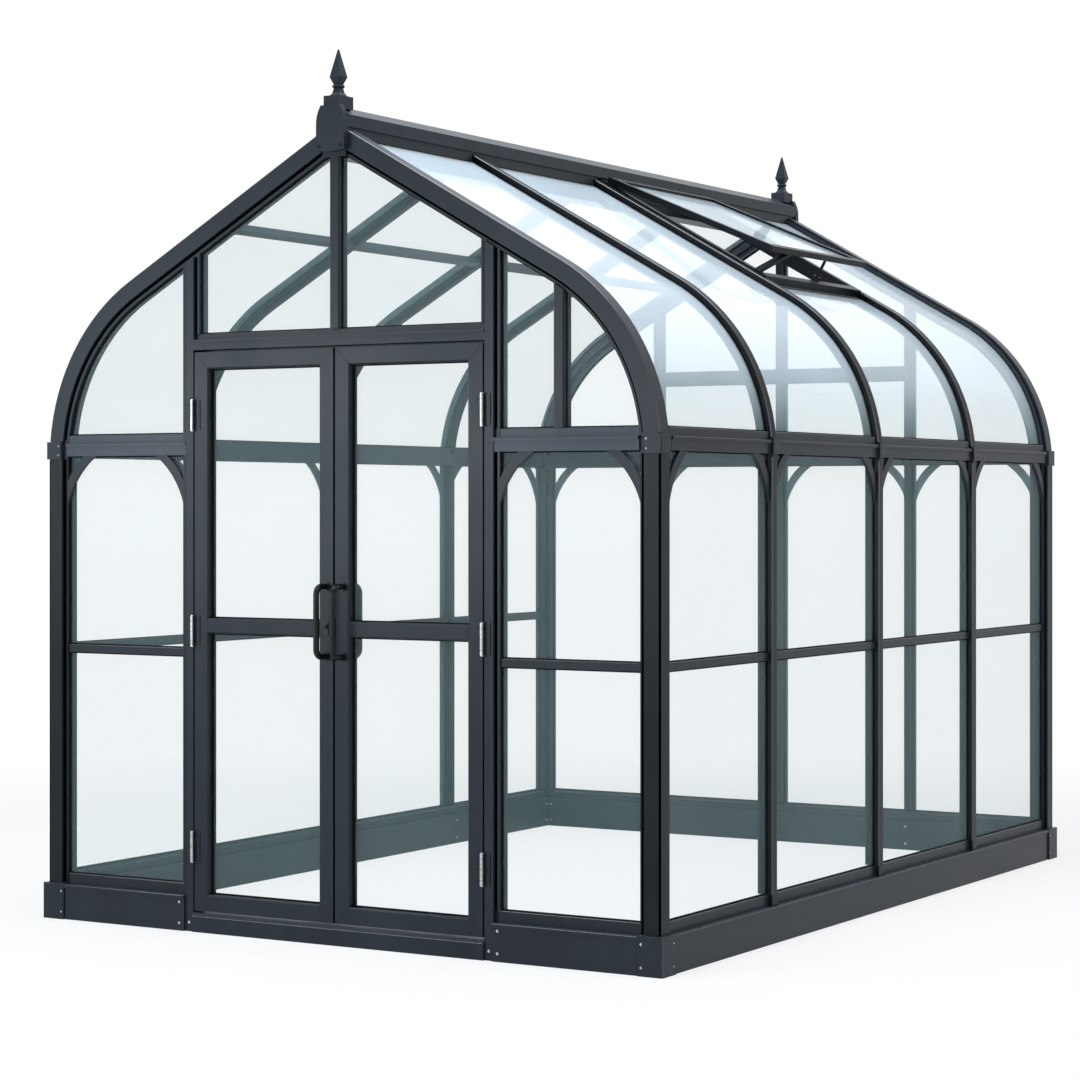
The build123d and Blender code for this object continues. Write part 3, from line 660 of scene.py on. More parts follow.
@dataclass(frozen=True)
class Palette:
    """All finishes of the part."""

    paint: Finish = PowderCoat("finish_powder_coat")
    # Door leaves: painted shade on the faces that don't face along Y, such as the sides of their pane
    # openings.
    leaf_paint: Finish = PowderCoat("powder_coat_leaves_painted_shade", painted_shade_share=0.9)
    # Painted shade: roof ribs, vent and stays get a much darker, less glossy copy of the paint, with less of
    # the pale top cast, for how dark they read in shade.
    shaded_rib_paint: Finish = PowderCoat(
        "powder_coat_roof_painted_shade", (0.004, 0.0053, 0.0072), (0.0062, 0.008, 0.0105),
        gloss=0.08, dust_and_top_light_share=0.10)
    edge_paint: Finish = PowderCoat(
        "finish_powder_coat_edges", (0.008, 0.0105, 0.0135), (0.012, 0.0155, 0.0195),
        gloss=0.8, rough=(0.12, 0.20))
    # Painted shade: the posts get a darker copy of the paint.
    shaded_post_paint: Finish = PowderCoat(
        "powder_coat_posts_painted_shade", (0.0090, 0.0122, 0.0160), (0.0130, 0.0172, 0.0220), gloss=0.10)
    # Painted light: the front eave beams get a much paler copy of the paint, for the front lamp's light on
    # them.
    lit_eave_paint: Finish = PowderCoat(
        "powder_coat_eaves_painted_light", (0.044, 0.057, 0.070), (0.055, 0.071, 0.087))
    wall_glass: Finish = Glazing("finish_wall_glass")
    # Roof glass: a thicker veil, and a painted sky reflection where it faces up.
    roof_glass: Finish = Glazing("finish_roof_glass", veil=0.12, sky=0.24, gloss=0.08, rim=0.10)
    steel: Finish = SatinSteel("finish_satin_steel")
    dark_steel: Finish = SatinSteel("finish_dark_steel", (0.16, 0.17, 0.18), (0.10, 0.105, 0.11))
    hinge: Finish = HingeSteel("finish_hinge_steel")
    black: Finish = Dull("finish_black_lacquer", (0.003, 0.003, 0.0035), (0.006, 0.006, 0.007), gloss=0.22)
    # Near black for the painted shade strips beside posts, jambs and ribs, and for the seams in the base.
    gap: Finish = Dull(
        "black_for_painted_shade_and_seams", (0.0008, 0.0008, 0.0009), (0.0014, 0.0014, 0.0015), (0.7, 0.9), gloss=0.0)
    rubber: Finish = Dull(
        "finish_glazing_rubber", (0.003, 0.003, 0.003), (0.006, 0.006, 0.006), (0.6, 0.8), gloss=0.1)


# Meshes


class Shell:
    """Mesh in the making, of strips and roundings."""

    core_share: float = 0.35
    sharp_angle: float = math.radians(35)

    def __init__(self) -> None:
        """Start empty."""
        self.corners: list[Vector] = []
        self.faces: list[tuple[int, ...]] = []

    def strip(self, points: Sequence[Vector], sides: Sequence[Vector], ups: Sequence[Vector],
              closed: bool) -> None:
        """Add a strip along a run of points.

        Args:
            points: The run.
            sides: Width of the strip at each point, as a vector.
            ups: Height of the strip at each point, as a vector.
            closed: Whether the run goes back to its start.
        """
        first = len(self.corners)
        for point, side, up in zip(points, sides, ups):
            self.corners += [point, point + side, point + side + up, point + up]
        count = len(points)
        for i in range(count if closed else count - 1):
            a, b = first + 4 * i, first + 4 * ((i + 1) % count)
            self.faces += [(a + k, a + (k + 1) % 4, b + (k + 1) % 4, b + k) for k in range(4)]
        if not closed:
            end = first + 4 * (count - 1)
            self.faces += [(first, first + 3, first + 2, first + 1), (end, end + 1, end + 2, end + 3)]

    def ring(self, points: Sequence[Vector], normal: Vector, width: float, height: float) -> None:
        """Add a mitred strip inside a flat outline.

        Args:
            points: The outline.
            normal: Way that the strip stands up.
            width: Width of the strip, inwards.
            height: Height of the strip.
        """
        count = len(points)
        area = sum(((points[i].cross(points[(i + 1) % count])) for i in range(count)), Vector())
        points = list(points) if area.dot(normal) > 0 else list(reversed(points))
        edges = [(points[(i + 1) % count] - points[i]).normalized() for i in range(count)]
        inward = [normal.cross(e) for e in edges]
        sides = []
        for i in range(count):
            before, after = inward[i - 1], inward[i]
            sides.append((before + after) * (width / (1.0 + before.dot(after))))
        self.strip(points, sides, [normal * height] * count, True)

    def round_edge(self, points: Sequence[Vector], ways: Sequence[tuple[Vector, Vector]], radius: float,
                   steps: int) -> None:
        """Add a rounding along an edge.

        Args:
            points: The edge where both faces would meet.
            ways: Outward normals of both faces at each point.
            radius: Radius of the rounding.
            steps: Number of flats round it.
        """
        first, ring = len(self.corners), steps + 2
        turns = [math.pi / 2 * i / steps for i in range(steps + 1)]
        for point, (one, two) in zip(points, ways):
            centre = point - (one + two) * radius
            self.corners += [centre + (one * math.cos(t) + two * math.sin(t)) * radius for t in turns]
            self.corners.append(centre + (one + two) * (radius * self.core_share))
        for i in range(len(points) - 1):
            a, b = first + ring * i, first + ring * (i + 1)
            self.faces += [(a + k, a + (k + 1) % ring, b + (k + 1) % ring, b + k) for k in range(ring)]
        end = first + ring * (len(points) - 1)
        self.faces += [tuple(range(first, first + ring)), tuple(range(end, end + ring))]

    def piece(self, name: str, finish: Finish, slot: Slot, body: Body,
              smooth: bool = False) -> bpy.types.Object:
        """Make the object and put it on its body.

        Args:
            name: Name of the object.
            finish: Its finish.
            slot: The record's slot that the finish stands for; it is not used.
            body: The body that it rides on.
            smooth: Whether flats that meet at a low angle are shaded as one surface.

        Returns:
            The object.
        """
        mesh = bpy.data.meshes.new(name)
        mesh.from_pydata(self.corners, [], self.faces)
        work = bmesh.new()
        work.from_mesh(mesh)
        bmesh.ops.recalc_face_normals(work, faces=work.faces)
        work.to_mesh(mesh)
        work.free()
        if smooth:
            mesh.shade_smooth()
            mesh.set_sharp_from_angle(angle=self.sharp_angle)
        return settle(bpy.data.objects.new(name, mesh), finish, body)


def settle(made: bpy.types.Object, finish: Finish, body: Body) -> bpy.types.Object:
    """Link an object, give it its finish and put it on its body.

    Args:
        made: The new object.
        finish: Its finish.
        body: The body that it rides on.

    Returns:
        The same object.
    """
    bpy.context.scene.collection.objects.link(made)
    made.data.materials.clear()
    made.data.materials.append(finish.material())
    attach(made, body.value)
    LOG.info("%s: %d faces on %s", made.name, len(made.data.polygons), body.value)
    return made


# Sub-assemblies


@dataclass
class Frame:
    """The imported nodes, which get their finishes."""

    nodes: dict[str, bpy.types.Object]
    palette: Palette

    def finish_of(self, name: str) -> Finish:
        """Finish of one node.

        Args:
            name: The node's name.

        Returns:
            Its finish.
        """
        if name.endswith("glass"):
            roof = "roof" in name or "vent" in name
            return self.palette.roof_glass if roof else self.palette.wall_glass
        palette = self.palette
        # Door leaves carry painted shade on faces that don't face along Y; posts and roof ribs get darker
        # copies of the paint as painted shade, and the front eave beams a paler copy as painted light.
        kinds = {
            ("hinges",): palette.hinge,
            ("handles", "lock"): palette.black,
            ("door_frame",): palette.leaf_paint,
            ("posts",): palette.shaded_post_paint,
            ("front_eave_beams",): palette.lit_eave_paint,
            ("roof_ribs", "vent_sash", "vent_curb", "stays"): palette.shaded_rib_paint,
        }
        return next((finish for ends, finish in kinds.items() if name.endswith(ends)), palette.paint)

    def dress(self) -> None:
        """Give every node its finish, and let lamps shine through the glass."""
        for name, node in self.nodes.items():
            node.data.materials.clear()
            node.data.materials.append(self.finish_of(name).material())
            node.visible_shadow = not name.endswith("glass")
        LOG.info("frame: %d nodes", len(self.nodes))


@dataclass
class RailFreeBack:
    """Back wall with tall panes and no rail at half height, and the rails that the front keeps."""

    nodes: dict[str, bpy.types.Object]
    plan: Plan
    palette: Palette
    weld: float = 1e-5

    def loose_copy(self, node: str) -> bmesh.types.BMesh:
        """Copy of a node's mesh with its doubles merged.

        Args:
            node: The node's name.

        Returns:
            The copy.
        """
        work = bmesh.new()
        work.from_mesh(self.nodes[node].data)
        bmesh.ops.remove_doubles(work, verts=work.verts, dist=self.weld)
        return work

    def solids(self, work: bmesh.types.BMesh) -> list[list[bmesh.types.BMVert]]:
        """Corners of each separate solid.

        Args:
            work: Mesh to look through.

        Returns:
            One list of corners for each solid.
        """
        left, found = set(work.verts), []
        while left:
            group, edge = [], [left.pop()]
            while edge:
                corner = edge.pop()
                group.append(corner)
                near = {e.other_vert(corner) for e in corner.link_edges} & left
                left -= near
                edge += near
            found.append(group)
        return found

    def replace(self, work: bmesh.types.BMesh, name: str, node: str, finish: Finish) -> bpy.types.Object:
        """Put a changed copy in a node's place.

        Args:
            work: The changed copy.
            name: Name of the new piece.
            node: The node that it stands for.
            finish: Its finish.

        Returns:
            The new piece.
        """
        mesh = bpy.data.meshes.new(name)
        work.to_mesh(mesh)
        work.free()
        mesh.shade_flat()
        made = settle(bpy.data.objects.new(name, mesh), finish, Body.HOUSE)
        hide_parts(node)
        return made

    def panes(self) -> None:
        """Make one tall pane of the two panes of every bay."""
        work = self.loose_copy("back_glass")
        low, high = self.plan.mid_rail
        spans = [(min(v.co.z for v in g), max(v.co.z for v in g), g) for g in self.solids(work)]
        lower = [g for bottom, top, g in spans if top < high]
        upper = [g for bottom, top, g in spans if bottom > low and top < self.plan.rail_top]
        ceiling = max(v.co.z for g in upper for v in g)
        for corner in (v for g in lower for v in g):
            if corner.co.z > low / 2:
                corner.co.z = ceiling
        bmesh.ops.delete(work, geom=[v for g in upper for v in g], context="VERTS")
        made = self.replace(work, "panes_back", "back_glass", self.palette.wall_glass)
        made.visible_shadow = False

    def rails(self) -> None:
        """Keep the two rails beside the doors."""
        work = self.loose_copy("end_mid_rails")
        behind = [v for v in work.verts if v.co.y > self.plan.middle]
        bmesh.ops.delete(work, geom=behind, context="VERTS")
        self.replace(work, "rails_front", "end_mid_rails", self.palette.paint)


@dataclass
class Gaskets:
    """Rubber strips between the glass and its frame."""

    plan: Plan
    palette: Palette
    width: float = 0.0045
    height: float = 0.0018
    lift: float = 0.0002
    arc_steps: int = 14
    edge_steps: int = 18

    def both_faces(self, shell: Shell, wall: Wall, outline: Sequence[Span]) -> None:
        """Strips on the outer and inner face of a pane.

        Args:
            shell: Mesh to add to.
            wall: Wall that holds the pane.
            outline: Places and heights of the outline.
        """
        outward = Vector(wall.value)
        for depth, normal in ((self.plan.glass_outer, outward), (self.plan.glass_inner, -outward)):
            points = [self.plan.wall_point(wall, u, z, depth) + normal * self.lift for u, z in outline]
            shell.ring(points, normal, self.width, self.height)

    def rows(self, wall: Wall) -> list[Span]:
        """Heights of the panes of a wall, which at the back go up to the eave."""
        low, high, rail = self.plan.bead_top, self.plan.eave, self.plan.mid_rail
        return [(low, high)] if wall is Wall.BACK else [(low, rail[0]), (rail[1], high)]

    def walls(self) -> None:
        """Strips round the panes of all four walls."""
        plan = self.plan
        door_side = plan.jamb_out + plan.flange
        spans = {
            Wall.FRONT: [(door_side, plan.inner), (-plan.inner, -door_side)],
            Wall.BACK: plan.back_bays(),
            Wall.RIGHT: plan.roof_bays(),
            Wall.LEFT: plan.roof_bays(),
        }
        shell = Shell()
        for wall, bays in spans.items():
            for u0, u1 in bays:
                for z0, z1 in self.rows(wall):
                    self.both_faces(shell, wall, [(u0, z0), (u1, z0), (u1, z1), (u0, z1)])
        shell.piece("gaskets_walls", self.palette.rubber, Slot.BLACK, Body.HOUSE)

    def gable_outline(self, u0: float, u1: float, bottom: float) -> list[Span]:
        """Outline of a gable pane under the ribs.

        Args:
            u0: Left edge.
            u1: Right edge.
            bottom: Height of the lower edge.

        Returns:
            Places and heights.
        """
        reach = self.plan.roof_reach(bottom, self.plan.corner)
        u0, u1 = max(u0, -reach), min(u1, reach)
        steps = [u1 + (u0 - u1) * i / self.edge_steps for i in range(self.edge_steps + 1)]
        top = [(u, self.plan.roof_height(u, self.plan.corner)) for u in steps]
        return [(u0, bottom), (u1, bottom)] + [(u, z) for u, z in top if z > bottom + self.width]

    def gables(self) -> None:
        """Strips round the panes of both gables."""
        plan, shell = self.plan, Shell()
        far, low, high = plan.half_width, plan.rail_top, plan.header[1]
        side, head = plan.jamb_out + plan.flange, plan.door_half - plan.flange
        front = [
            (plan.bar, head, high), (-head, -plan.bar, high), (-far, -side, low),
            (side, plan.extra_bar - plan.bar, low), (plan.extra_bar + plan.bar, far, low),
        ]
        bays = plan.back_bays()
        back = [(-far, bays[0][1], low), (bays[3][0], far, low)]
        back += [(a, b, high) for a, b in bays[1:3]]
        for wall, panes in ((Wall.FRONT, front), (Wall.BACK, back)):
            for u0, u1, bottom in panes:
                self.both_faces(shell, wall, self.gable_outline(u0, u1, bottom))
        for u0, u1 in bays[1:3]:
            z0, z1 = low, plan.header[0]
            self.both_faces(shell, Wall.BACK, [(u0, z0), (u1, z0), (u1, z1), (u0, z1)])
        shell.piece("gaskets_gables", self.palette.rubber, Slot.BLACK, Body.HOUSE)

    def roof(self) -> None:
        """Strips along the ribs, the eave and the ridge."""
        plan, shell = self.plan, Shell()
        for hand in (1, -1):
            turn = Matrix.Scale(hand, 3, (1, 0, 0))
            for i, (y0, y1) in enumerate(plan.roof_bays()):
                short = hand > 0 and i == plan.vent_bay
                end = plan.ridge_half + (plan.vent_length * math.cos(plan.pitch) if short else 0.0)
                for depth, way in ((plan.glass_outer, 1), (plan.glass_inner, -1)):
                    points, normals = plan.slope_line(depth, plan.rail_top, end, self.arc_steps)
                    points = [turn @ (p + n * way * self.lift) for p, n in zip(points, normals)]
                    ups = [turn @ (n * way * self.height) for n in normals]
                    for y, side in ((y0, 1), (y1, -1)):
                        run = [p + Vector((0, y, 0)) for p in points]
                        shell.strip(run, [Vector((0, side * self.width, 0))] * len(run), ups, False)
                    for k, near in ((0, 1), (-1, -2)):
                        along = (points[near] - points[k]).normalized() * self.width
                        run = [points[k] + Vector((0, y, 0)) for y in (y0, y1)]
                        shell.strip(run, [along] * 2, [ups[k]] * 2, False)
        shell.piece("gaskets_roof", self.palette.rubber, Slot.BLACK, Body.HOUSE)


@dataclass
class ShadeStripsAndSeams:
    """Black strips of painted shade beside the faces and flanges of posts, jambs and ribs and in their
    grooves, and dark seams in the base.
    """

    plan: Plan
    palette: Palette
    shell: Shell = field(default_factory=Shell)
    width: float = 0.009
    post_width: float = 0.0125
    post_edge: float = 0.0041
    post_line: float = 0.0026
    edge_steps: int = 6
    foot_gap: float = 0.004
    seam_gap: float = 0.003
    lip_gap: float = 0.013
    proud: float = 0.0006
    seam: float = 0.0022
    seam_shift: float = -0.022
    eave_clear: Span = (1.600, 1.655)
    groove_depth: float = 0.0425
    groove_width: float = 0.0033
    groove_floor: float = 0.011
    arc_steps: int = 16

    def upright(self, foot: Vector, side: Vector, out: Vector, top: float) -> None:
        """Add an upright strip.

        Args:
            foot: Its lower end.
            side: Its width, as a vector.
            out: Way that it faces.
            top: Height of its upper end.
        """
        run = [foot, Vector((foot.x, foot.y, top))]
        self.shell.strip(run, [side] * 2, [out * self.proud] * 2, False)

    def posts(self) -> None:
        """Painted shade: black strips on the flanges beside the corner posts, and a painted dark line up
        their outer edges.
        """
        plan = self.plan
        low, top = plan.base_top + self.foot_gap, plan.bracket_bottom
        for hand in (1, -1):
            aside = Vector((hand, 0, 0))
            for y, way in plan.ends:
                out = Vector((0, way, 0))
                foot = Vector((hand * (plan.half_width - plan.main), y - way * plan.flange_set, low))
                self.upright(foot, aside * -self.post_width, out, plan.spring)
                foot = Vector((hand * (plan.half_width - plan.flange_set), y - way * plan.main, low))
                self.upright(foot, out * -self.width, aside, plan.spring)
                foot = Vector((hand * plan.half_width, y, low))
                run = [foot, Vector((foot.x, foot.y, top))]
                self.shell.round_edge(run, [(out, aside)] * 2, self.post_edge, self.edge_steps)
                self.upright(foot - aside * self.post_edge, aside * -self.post_line, out, top)

    def jambs(self) -> None:
        """Painted shade: black strips beside the jambs, below and above the eave, and over the door header.
        """
        plan = self.plan
        runs = (
            (plan.jamb_out, 1, plan.bead_top, self.eave_clear[0]),
            (plan.jamb_out, 1, plan.rail_top, plan.roof_height(plan.jamb_out + self.width, plan.corner)),
            (plan.door_half, -1, plan.header[1], plan.roof_height(plan.door_half, plan.corner)),
        )
        for hand in (1, -1):
            for x, way, low, high in runs:
                foot = Vector((hand * x, plan.front + plan.flange_set, low))
                self.upright(foot, Vector((hand * way * self.width, 0, 0)), Vector((0, -1, 0)), high)

    def rib_line(self, depth: float) -> Line:
        """Points and outward normals along the right-hand gable rib, depth below the outer surface."""
        return self.plan.slope_line(depth, self.eave_clear[1], self.plan.ridge_half, self.arc_steps)

    def ribs(self) -> None:
        """Painted shade: black strips along the gable ribs, on the gable and on the roof."""
        plan = self.plan
        for hand in (1, -1):
            turn = Matrix.Scale(hand, 3, (1, 0, 0))
            for y, way in plan.ends:
                points, normals = self.rib_line(plan.main)
                run = [turn @ p + Vector((0, y - way * plan.flange_set, 0)) for p in points]
                sides = [turn @ n * -self.width for n in normals]
                self.shell.strip(run, sides, [Vector((0, way * self.proud, 0))] * len(run), False)
                points, normals = self.rib_line(plan.flange_set)
                run = [turn @ p + Vector((0, y - way * plan.main, 0)) for p in points]
                ups = [turn @ n * self.proud for n in normals]
                self.shell.strip(run, [Vector((0, -way * self.width, 0))] * len(run), ups, False)

    def rib_grooves(self) -> None:
        """Painted shade: black strips in the grooves along the inner flanges of the roof ribs."""
        points, normals = self.rib_line(self.groove_depth)
        for hand in (1, -1):
            turn = Matrix.Scale(hand, 3, (1, 0, 0))
            sides = [turn @ n * -self.groove_width for n in normals]
            for place in self.plan.ribs:
                for way in (1, -1):
                    run = [turn @ p + Vector((0, place + way * self.groove_floor, 0)) for p in points]
                    self.shell.strip(run, sides, [Vector((0, way * self.proud, 0))] * len(run), False)

    def post_grooves(self) -> None:
        """Painted shade: black strips in the grooves along the inner flanges of the posts."""
        plan, low = self.plan, self.plan.bead_top
        for way in (1, -1):
            for place in plan.ribs:
                for hand in (1, -1):
                    x, y = hand * (plan.half_width - self.groove_depth), place + way * self.groove_floor
                    side = Vector((-hand * self.groove_width, 0, 0))
                    self.upright(Vector((x, y, low)), side, Vector((0, way, 0)), plan.eave)
            for place in plan.back_posts:
                x, y = place + way * self.groove_floor, plan.back - self.groove_depth
                top = plan.roof_height(place, plan.corner)
                side = Vector((0, -self.groove_width, 0))
                self.upright(Vector((x, y, low)), side, Vector((way, 0, 0)), top)

    def base_seams(self) -> None:
        """Seams of the base beside the posts, on its inner faces."""
        plan = self.plan
        low, high = self.seam_gap, plan.base_top - self.seam_gap
        for hand in (1, -1):
            x = hand * (plan.half_width - plan.base_inner)
            for y in plan.ribs:
                foot = Vector((x, y + self.seam_shift, low))
                self.upright(foot, Vector((0, self.seam, 0)), Vector((-hand, 0, 0)), high)
        for x in plan.back_posts:
            foot = Vector((x + self.seam_shift, plan.back - plan.base_inner, low))
            self.upright(foot, Vector((self.seam, 0, 0)), Vector((0, -1, 0)), high)

    def block_seams(self) -> None:
        """Seams of the plinth beside the corner blocks."""
        plan = self.plan
        low, high = self.seam_gap, plan.base_top - self.lip_gap
        for hand in (1, -1):
            for y, way in plan.ends:
                foot = Vector((hand * plan.inner, y + way * plan.plinth_proud, low))
                self.upright(foot, Vector((-hand * self.seam, 0, 0)), Vector((0, way, 0)), high)
                foot = Vector((hand * (plan.half_width + plan.plinth_proud), y - way * plan.corner, low))
                self.upright(foot, Vector((0, -way * self.seam, 0)), Vector((hand, 0, 0)), high)

    def build(self) -> None:
        """Make all painted shade strips and the seams as one piece."""
        self.posts()
        self.jambs()
        self.ribs()
        self.rib_grooves()
        self.post_grooves()
        self.base_seams()
        self.block_seams()
        self.shell.piece("shade_strips_and_seams", self.palette.gap, Slot.BLACK, Body.HOUSE)


@dataclass
class Edges:
    """Rounded edges of ribs, posts, rails and base, where the paint shines."""

    plan: Plan
    palette: Palette
    shell: Shell = field(default_factory=Shell)
    radius: float = 0.0041
    steps: int = 6
    cap_half: float = 0.019
    bead: float = 0.002
    bead_proud: float = 0.0005
    ledges: tuple[Span, ...] = ((-0.012, 0.120), (0.015, 0.158), (-0.003, 1.644), (0.012, 1.672))
    mid_ledge: Span = (0.016, 0.950)
    header_ledges: tuple[Span, ...] = ((-0.004, 1.986), (0.015, 2.006), (-0.008, 0.054))
    block: Span = (0.001, 0.123)

    def upright(self, foot: Vector, one: Vector, two: Vector, top: float) -> None:
        """Add a rounding up a post.

        Args:
            foot: Lower end of the edge.
            one: Outward normal of the first face.
            two: Outward normal of the second face.
            top: Height of the upper end.
        """
        run = [foot, Vector((foot.x, foot.y, top))]
        self.shell.round_edge(run, [(one, two)] * 2, self.radius, self.steps)

    def ribs(self, line: Line) -> None:
        """Edges of the roof ribs and gable ribs.

        Args:
            line: Points and outward normals up the right-hand slope.
        """
        plan, (points, normals) = self.plan, line
        edges = [(y + way * self.cap_half, way) for y in plan.ribs for way in (1, -1)]
        edges += plan.ends
        for hand in (1, -1):
            turn = Matrix.Scale(hand, 3, (1, 0, 0))
            for y, way in edges:
                run = [turn @ p + Vector((0, y, 0)) for p in points]
                ways = [(Vector((0, way, 0)), turn @ n) for n in normals]
                self.shell.round_edge(run, ways, self.radius, self.steps)

    def posts(self) -> None:
        """Edges of the caps of side and back posts."""
        plan = self.plan
        for hand in (1, -1):
            out = Vector((hand, 0, 0))
            for way in (1, -1):
                for y in plan.ribs:
                    foot = Vector((hand * plan.half_width, y + way * self.cap_half, plan.bead_top))
                    self.upright(foot, Vector((0, way, 0)), out, plan.bracket_bottom)
        for x in plan.back_posts:
            top = plan.roof_height(x, plan.corner)
            for way in (1, -1):
                foot = Vector((x + way * self.cap_half, plan.back, plan.bead_top))
                self.upright(foot, Vector((way, 0, 0)), Vector((0, 1, 0)), top)

    def ledge(self, wall: Wall, span: Span, level: Span) -> None:
        """Add a bead along the outer top edge of a rail.

        Args:
            wall: Wall that holds the rail.
            span: Both ends of the rail along the wall.
            level: Depth and height of its edge.
        """
        out, up = Vector(wall.value), Vector((0, 0, 1))
        depth, z = level
        run = [self.plan.wall_point(wall, u, z, depth) + (out + up) * self.bead_proud for u in span]
        self.shell.round_edge(run, [(out, up)] * 2, self.bead, self.steps)

    def rails(self) -> None:
        """Edges of the base, the rails, the eaves, the door header, the threshold and the corner blocks."""
        plan = self.plan
        side = [(plan.front + plan.corner, plan.back - plan.corner)]
        walls = {
            Wall.FRONT: [(plan.jamb_out, plan.inner), (-plan.inner, -plan.jamb_out)],
            Wall.BACK: [(-plan.inner, plan.inner)],
            Wall.RIGHT: side,
            Wall.LEFT: side,
        }
        for wall, spans in walls.items():
            levels = self.ledges if wall is Wall.BACK else self.ledges + (self.mid_ledge,)
            for span in spans:
                for level in levels:
                    self.ledge(wall, span, level)
        for level in self.header_ledges:
            self.ledge(Wall.FRONT, (-plan.door_half, plan.door_half), level)
        for hand in (1, -1):
            for y, way in plan.ends:
                x, y = hand * (plan.half_width + plan.block_proud), y + way * plan.block_proud
                run = [Vector((x, y, z)) for z in self.block]
                ways = [(Vector((0, way, 0)), Vector((hand, 0, 0)))] * 2
                self.shell.round_edge(run, ways, self.bead, self.steps)

    def build(self, line: Line) -> None:
        """Make all rounded edges as one piece.

        Args:
            line: Points and outward normals up the right-hand slope.
        """
        self.ribs(line)
        self.posts()
        self.rails()
        self.shell.piece("rounded_edges", self.palette.edge_paint, Slot.PAINT, Body.HOUSE, True)


@dataclass
class DoorTrim:
    """Glazing strips, mitre seams and hinge seams of the doors."""

    plan: Plan
    palette: Palette
    near: float = 0.004
    far: float = 0.570
    low: float = 0.071
    high: float = 1.944
    stile: float = 0.057
    bevel: float = 0.005
    panes: tuple[Span, ...] = ((0.128, 1.002), (1.054, 1.887))
    glass: Span = (0.026, 0.030)
    depth: float = 0.044
    strip: float = 0.004
    proud: float = 0.0018
    seam: float = 0.0011
    seam_proud: float = 0.00015
    seam_inset: float = 0.001
    lift: float = 0.0002
    sink: float = 0.0001
    knuckle: float = 0.008
    leaf_rings: tuple[float, ...] = (0.5,)
    jamb_rings: tuple[float, ...] = (0.165, 0.835)
    ring_steps: int = 28

    def strips(self, shell: Shell, hand: int) -> None:
        """Rubber strips round both panes of a leaf.

        Args:
            shell: Mesh to add to.
            hand: 1 for the right leaf and -1 for the left one.
        """
        left, right = self.near + self.stile, self.far - self.stile
        for z0, z1 in self.panes:
            for depth, way in zip(self.glass, (-1, 1)):
                y = self.plan.front + depth + way * self.lift
                corners = [(left, z0), (right, z0), (right, z1), (left, z1)]
                points = [Vector((hand * x, y, z)) for x, z in corners]
                shell.ring(points, Vector((0, way, 0)), self.strip, self.proud)

    def seams(self, shell: Shell, hand: int) -> None:
        """Mitre seams at the corners and butt seams at the lock rail, on both faces.

        Args:
            shell: Mesh to add to.
            hand: 1 for the right leaf and -1 for the left one.
        """
        inset, reach = self.seam_inset, self.stile - self.bevel - self.seam_inset
        lines = []
        for x, dx in ((self.near, 1), (self.far, -1)):
            for z, dz in ((self.low, 1), (self.high, -1)):
                lines.append(((x + dx * inset, z + dz * inset), (x + dx * reach, z + dz * reach)))
            edge = x + dx * (self.stile - self.bevel)
            lines.append(((edge, self.panes[0][1] + self.bevel), (edge, self.panes[1][0] - self.bevel)))
        for y, way in ((self.plan.front, -1), (self.plan.front + self.depth, 1)):
            up = Vector((0, way * self.seam_proud, 0))
            for (xa, za), (xb, zb) in lines:
                run = [Vector((hand * xa, y, za)), Vector((hand * xb, y, zb))]
                side = (run[1] - run[0]).normalized().cross(Vector((0, 1, 0))) * self.seam
                shell.strip([p - side / 2 for p in run], [side] * 2, [up] * 2, False)

    def knuckle_seams(self, shell: Shell, hand: int, shares: Iterable[float]) -> None:
        """Dark rings between the knuckles of the hinges.

        Args:
            shell: Mesh to add to.
            hand: 1 for the right side and -1 for the left one.
            shares: Places of the rings up each hinge.
        """
        plan = self.plan
        turns = [2 * math.pi * i / self.ring_steps for i in range(self.ring_steps)]
        outs = [Vector((math.cos(t), math.sin(t), 0)) for t in turns]
        for middle in plan.hinge_heights:
            for share in shares:
                z = middle + (share - 0.5) * plan.hinge_length
                centre = Vector((hand * plan.hinge_x, plan.front - plan.hinge_out, z - self.seam / 2))
                run = [centre + out * (self.knuckle - self.sink) for out in outs]
                ups = [out * (self.seam_proud + self.sink) for out in outs]
                shell.strip(run, [Vector((0, 0, self.seam))] * len(run), ups, True)

    def build(self) -> None:
        """Make the trim of both leaves and both jambs."""
        jambs = Shell()
        for hand, body in ((1, Body.RIGHT), (-1, Body.LEFT)):
            rubber, seams = Shell(), Shell()
            self.strips(rubber, hand)
            self.seams(seams, hand)
            self.knuckle_seams(seams, hand, self.leaf_rings)
            self.knuckle_seams(jambs, hand, self.jamb_rings)
            rubber.piece(f"gaskets_{body.value}", self.palette.rubber, Slot.BLACK, body)
            seams.piece(f"seams_{body.value}", self.palette.rubber, Slot.BLACK, body)
        jambs.piece("seams_jamb_hinges", self.palette.rubber, Slot.BLACK, Body.HOUSE)


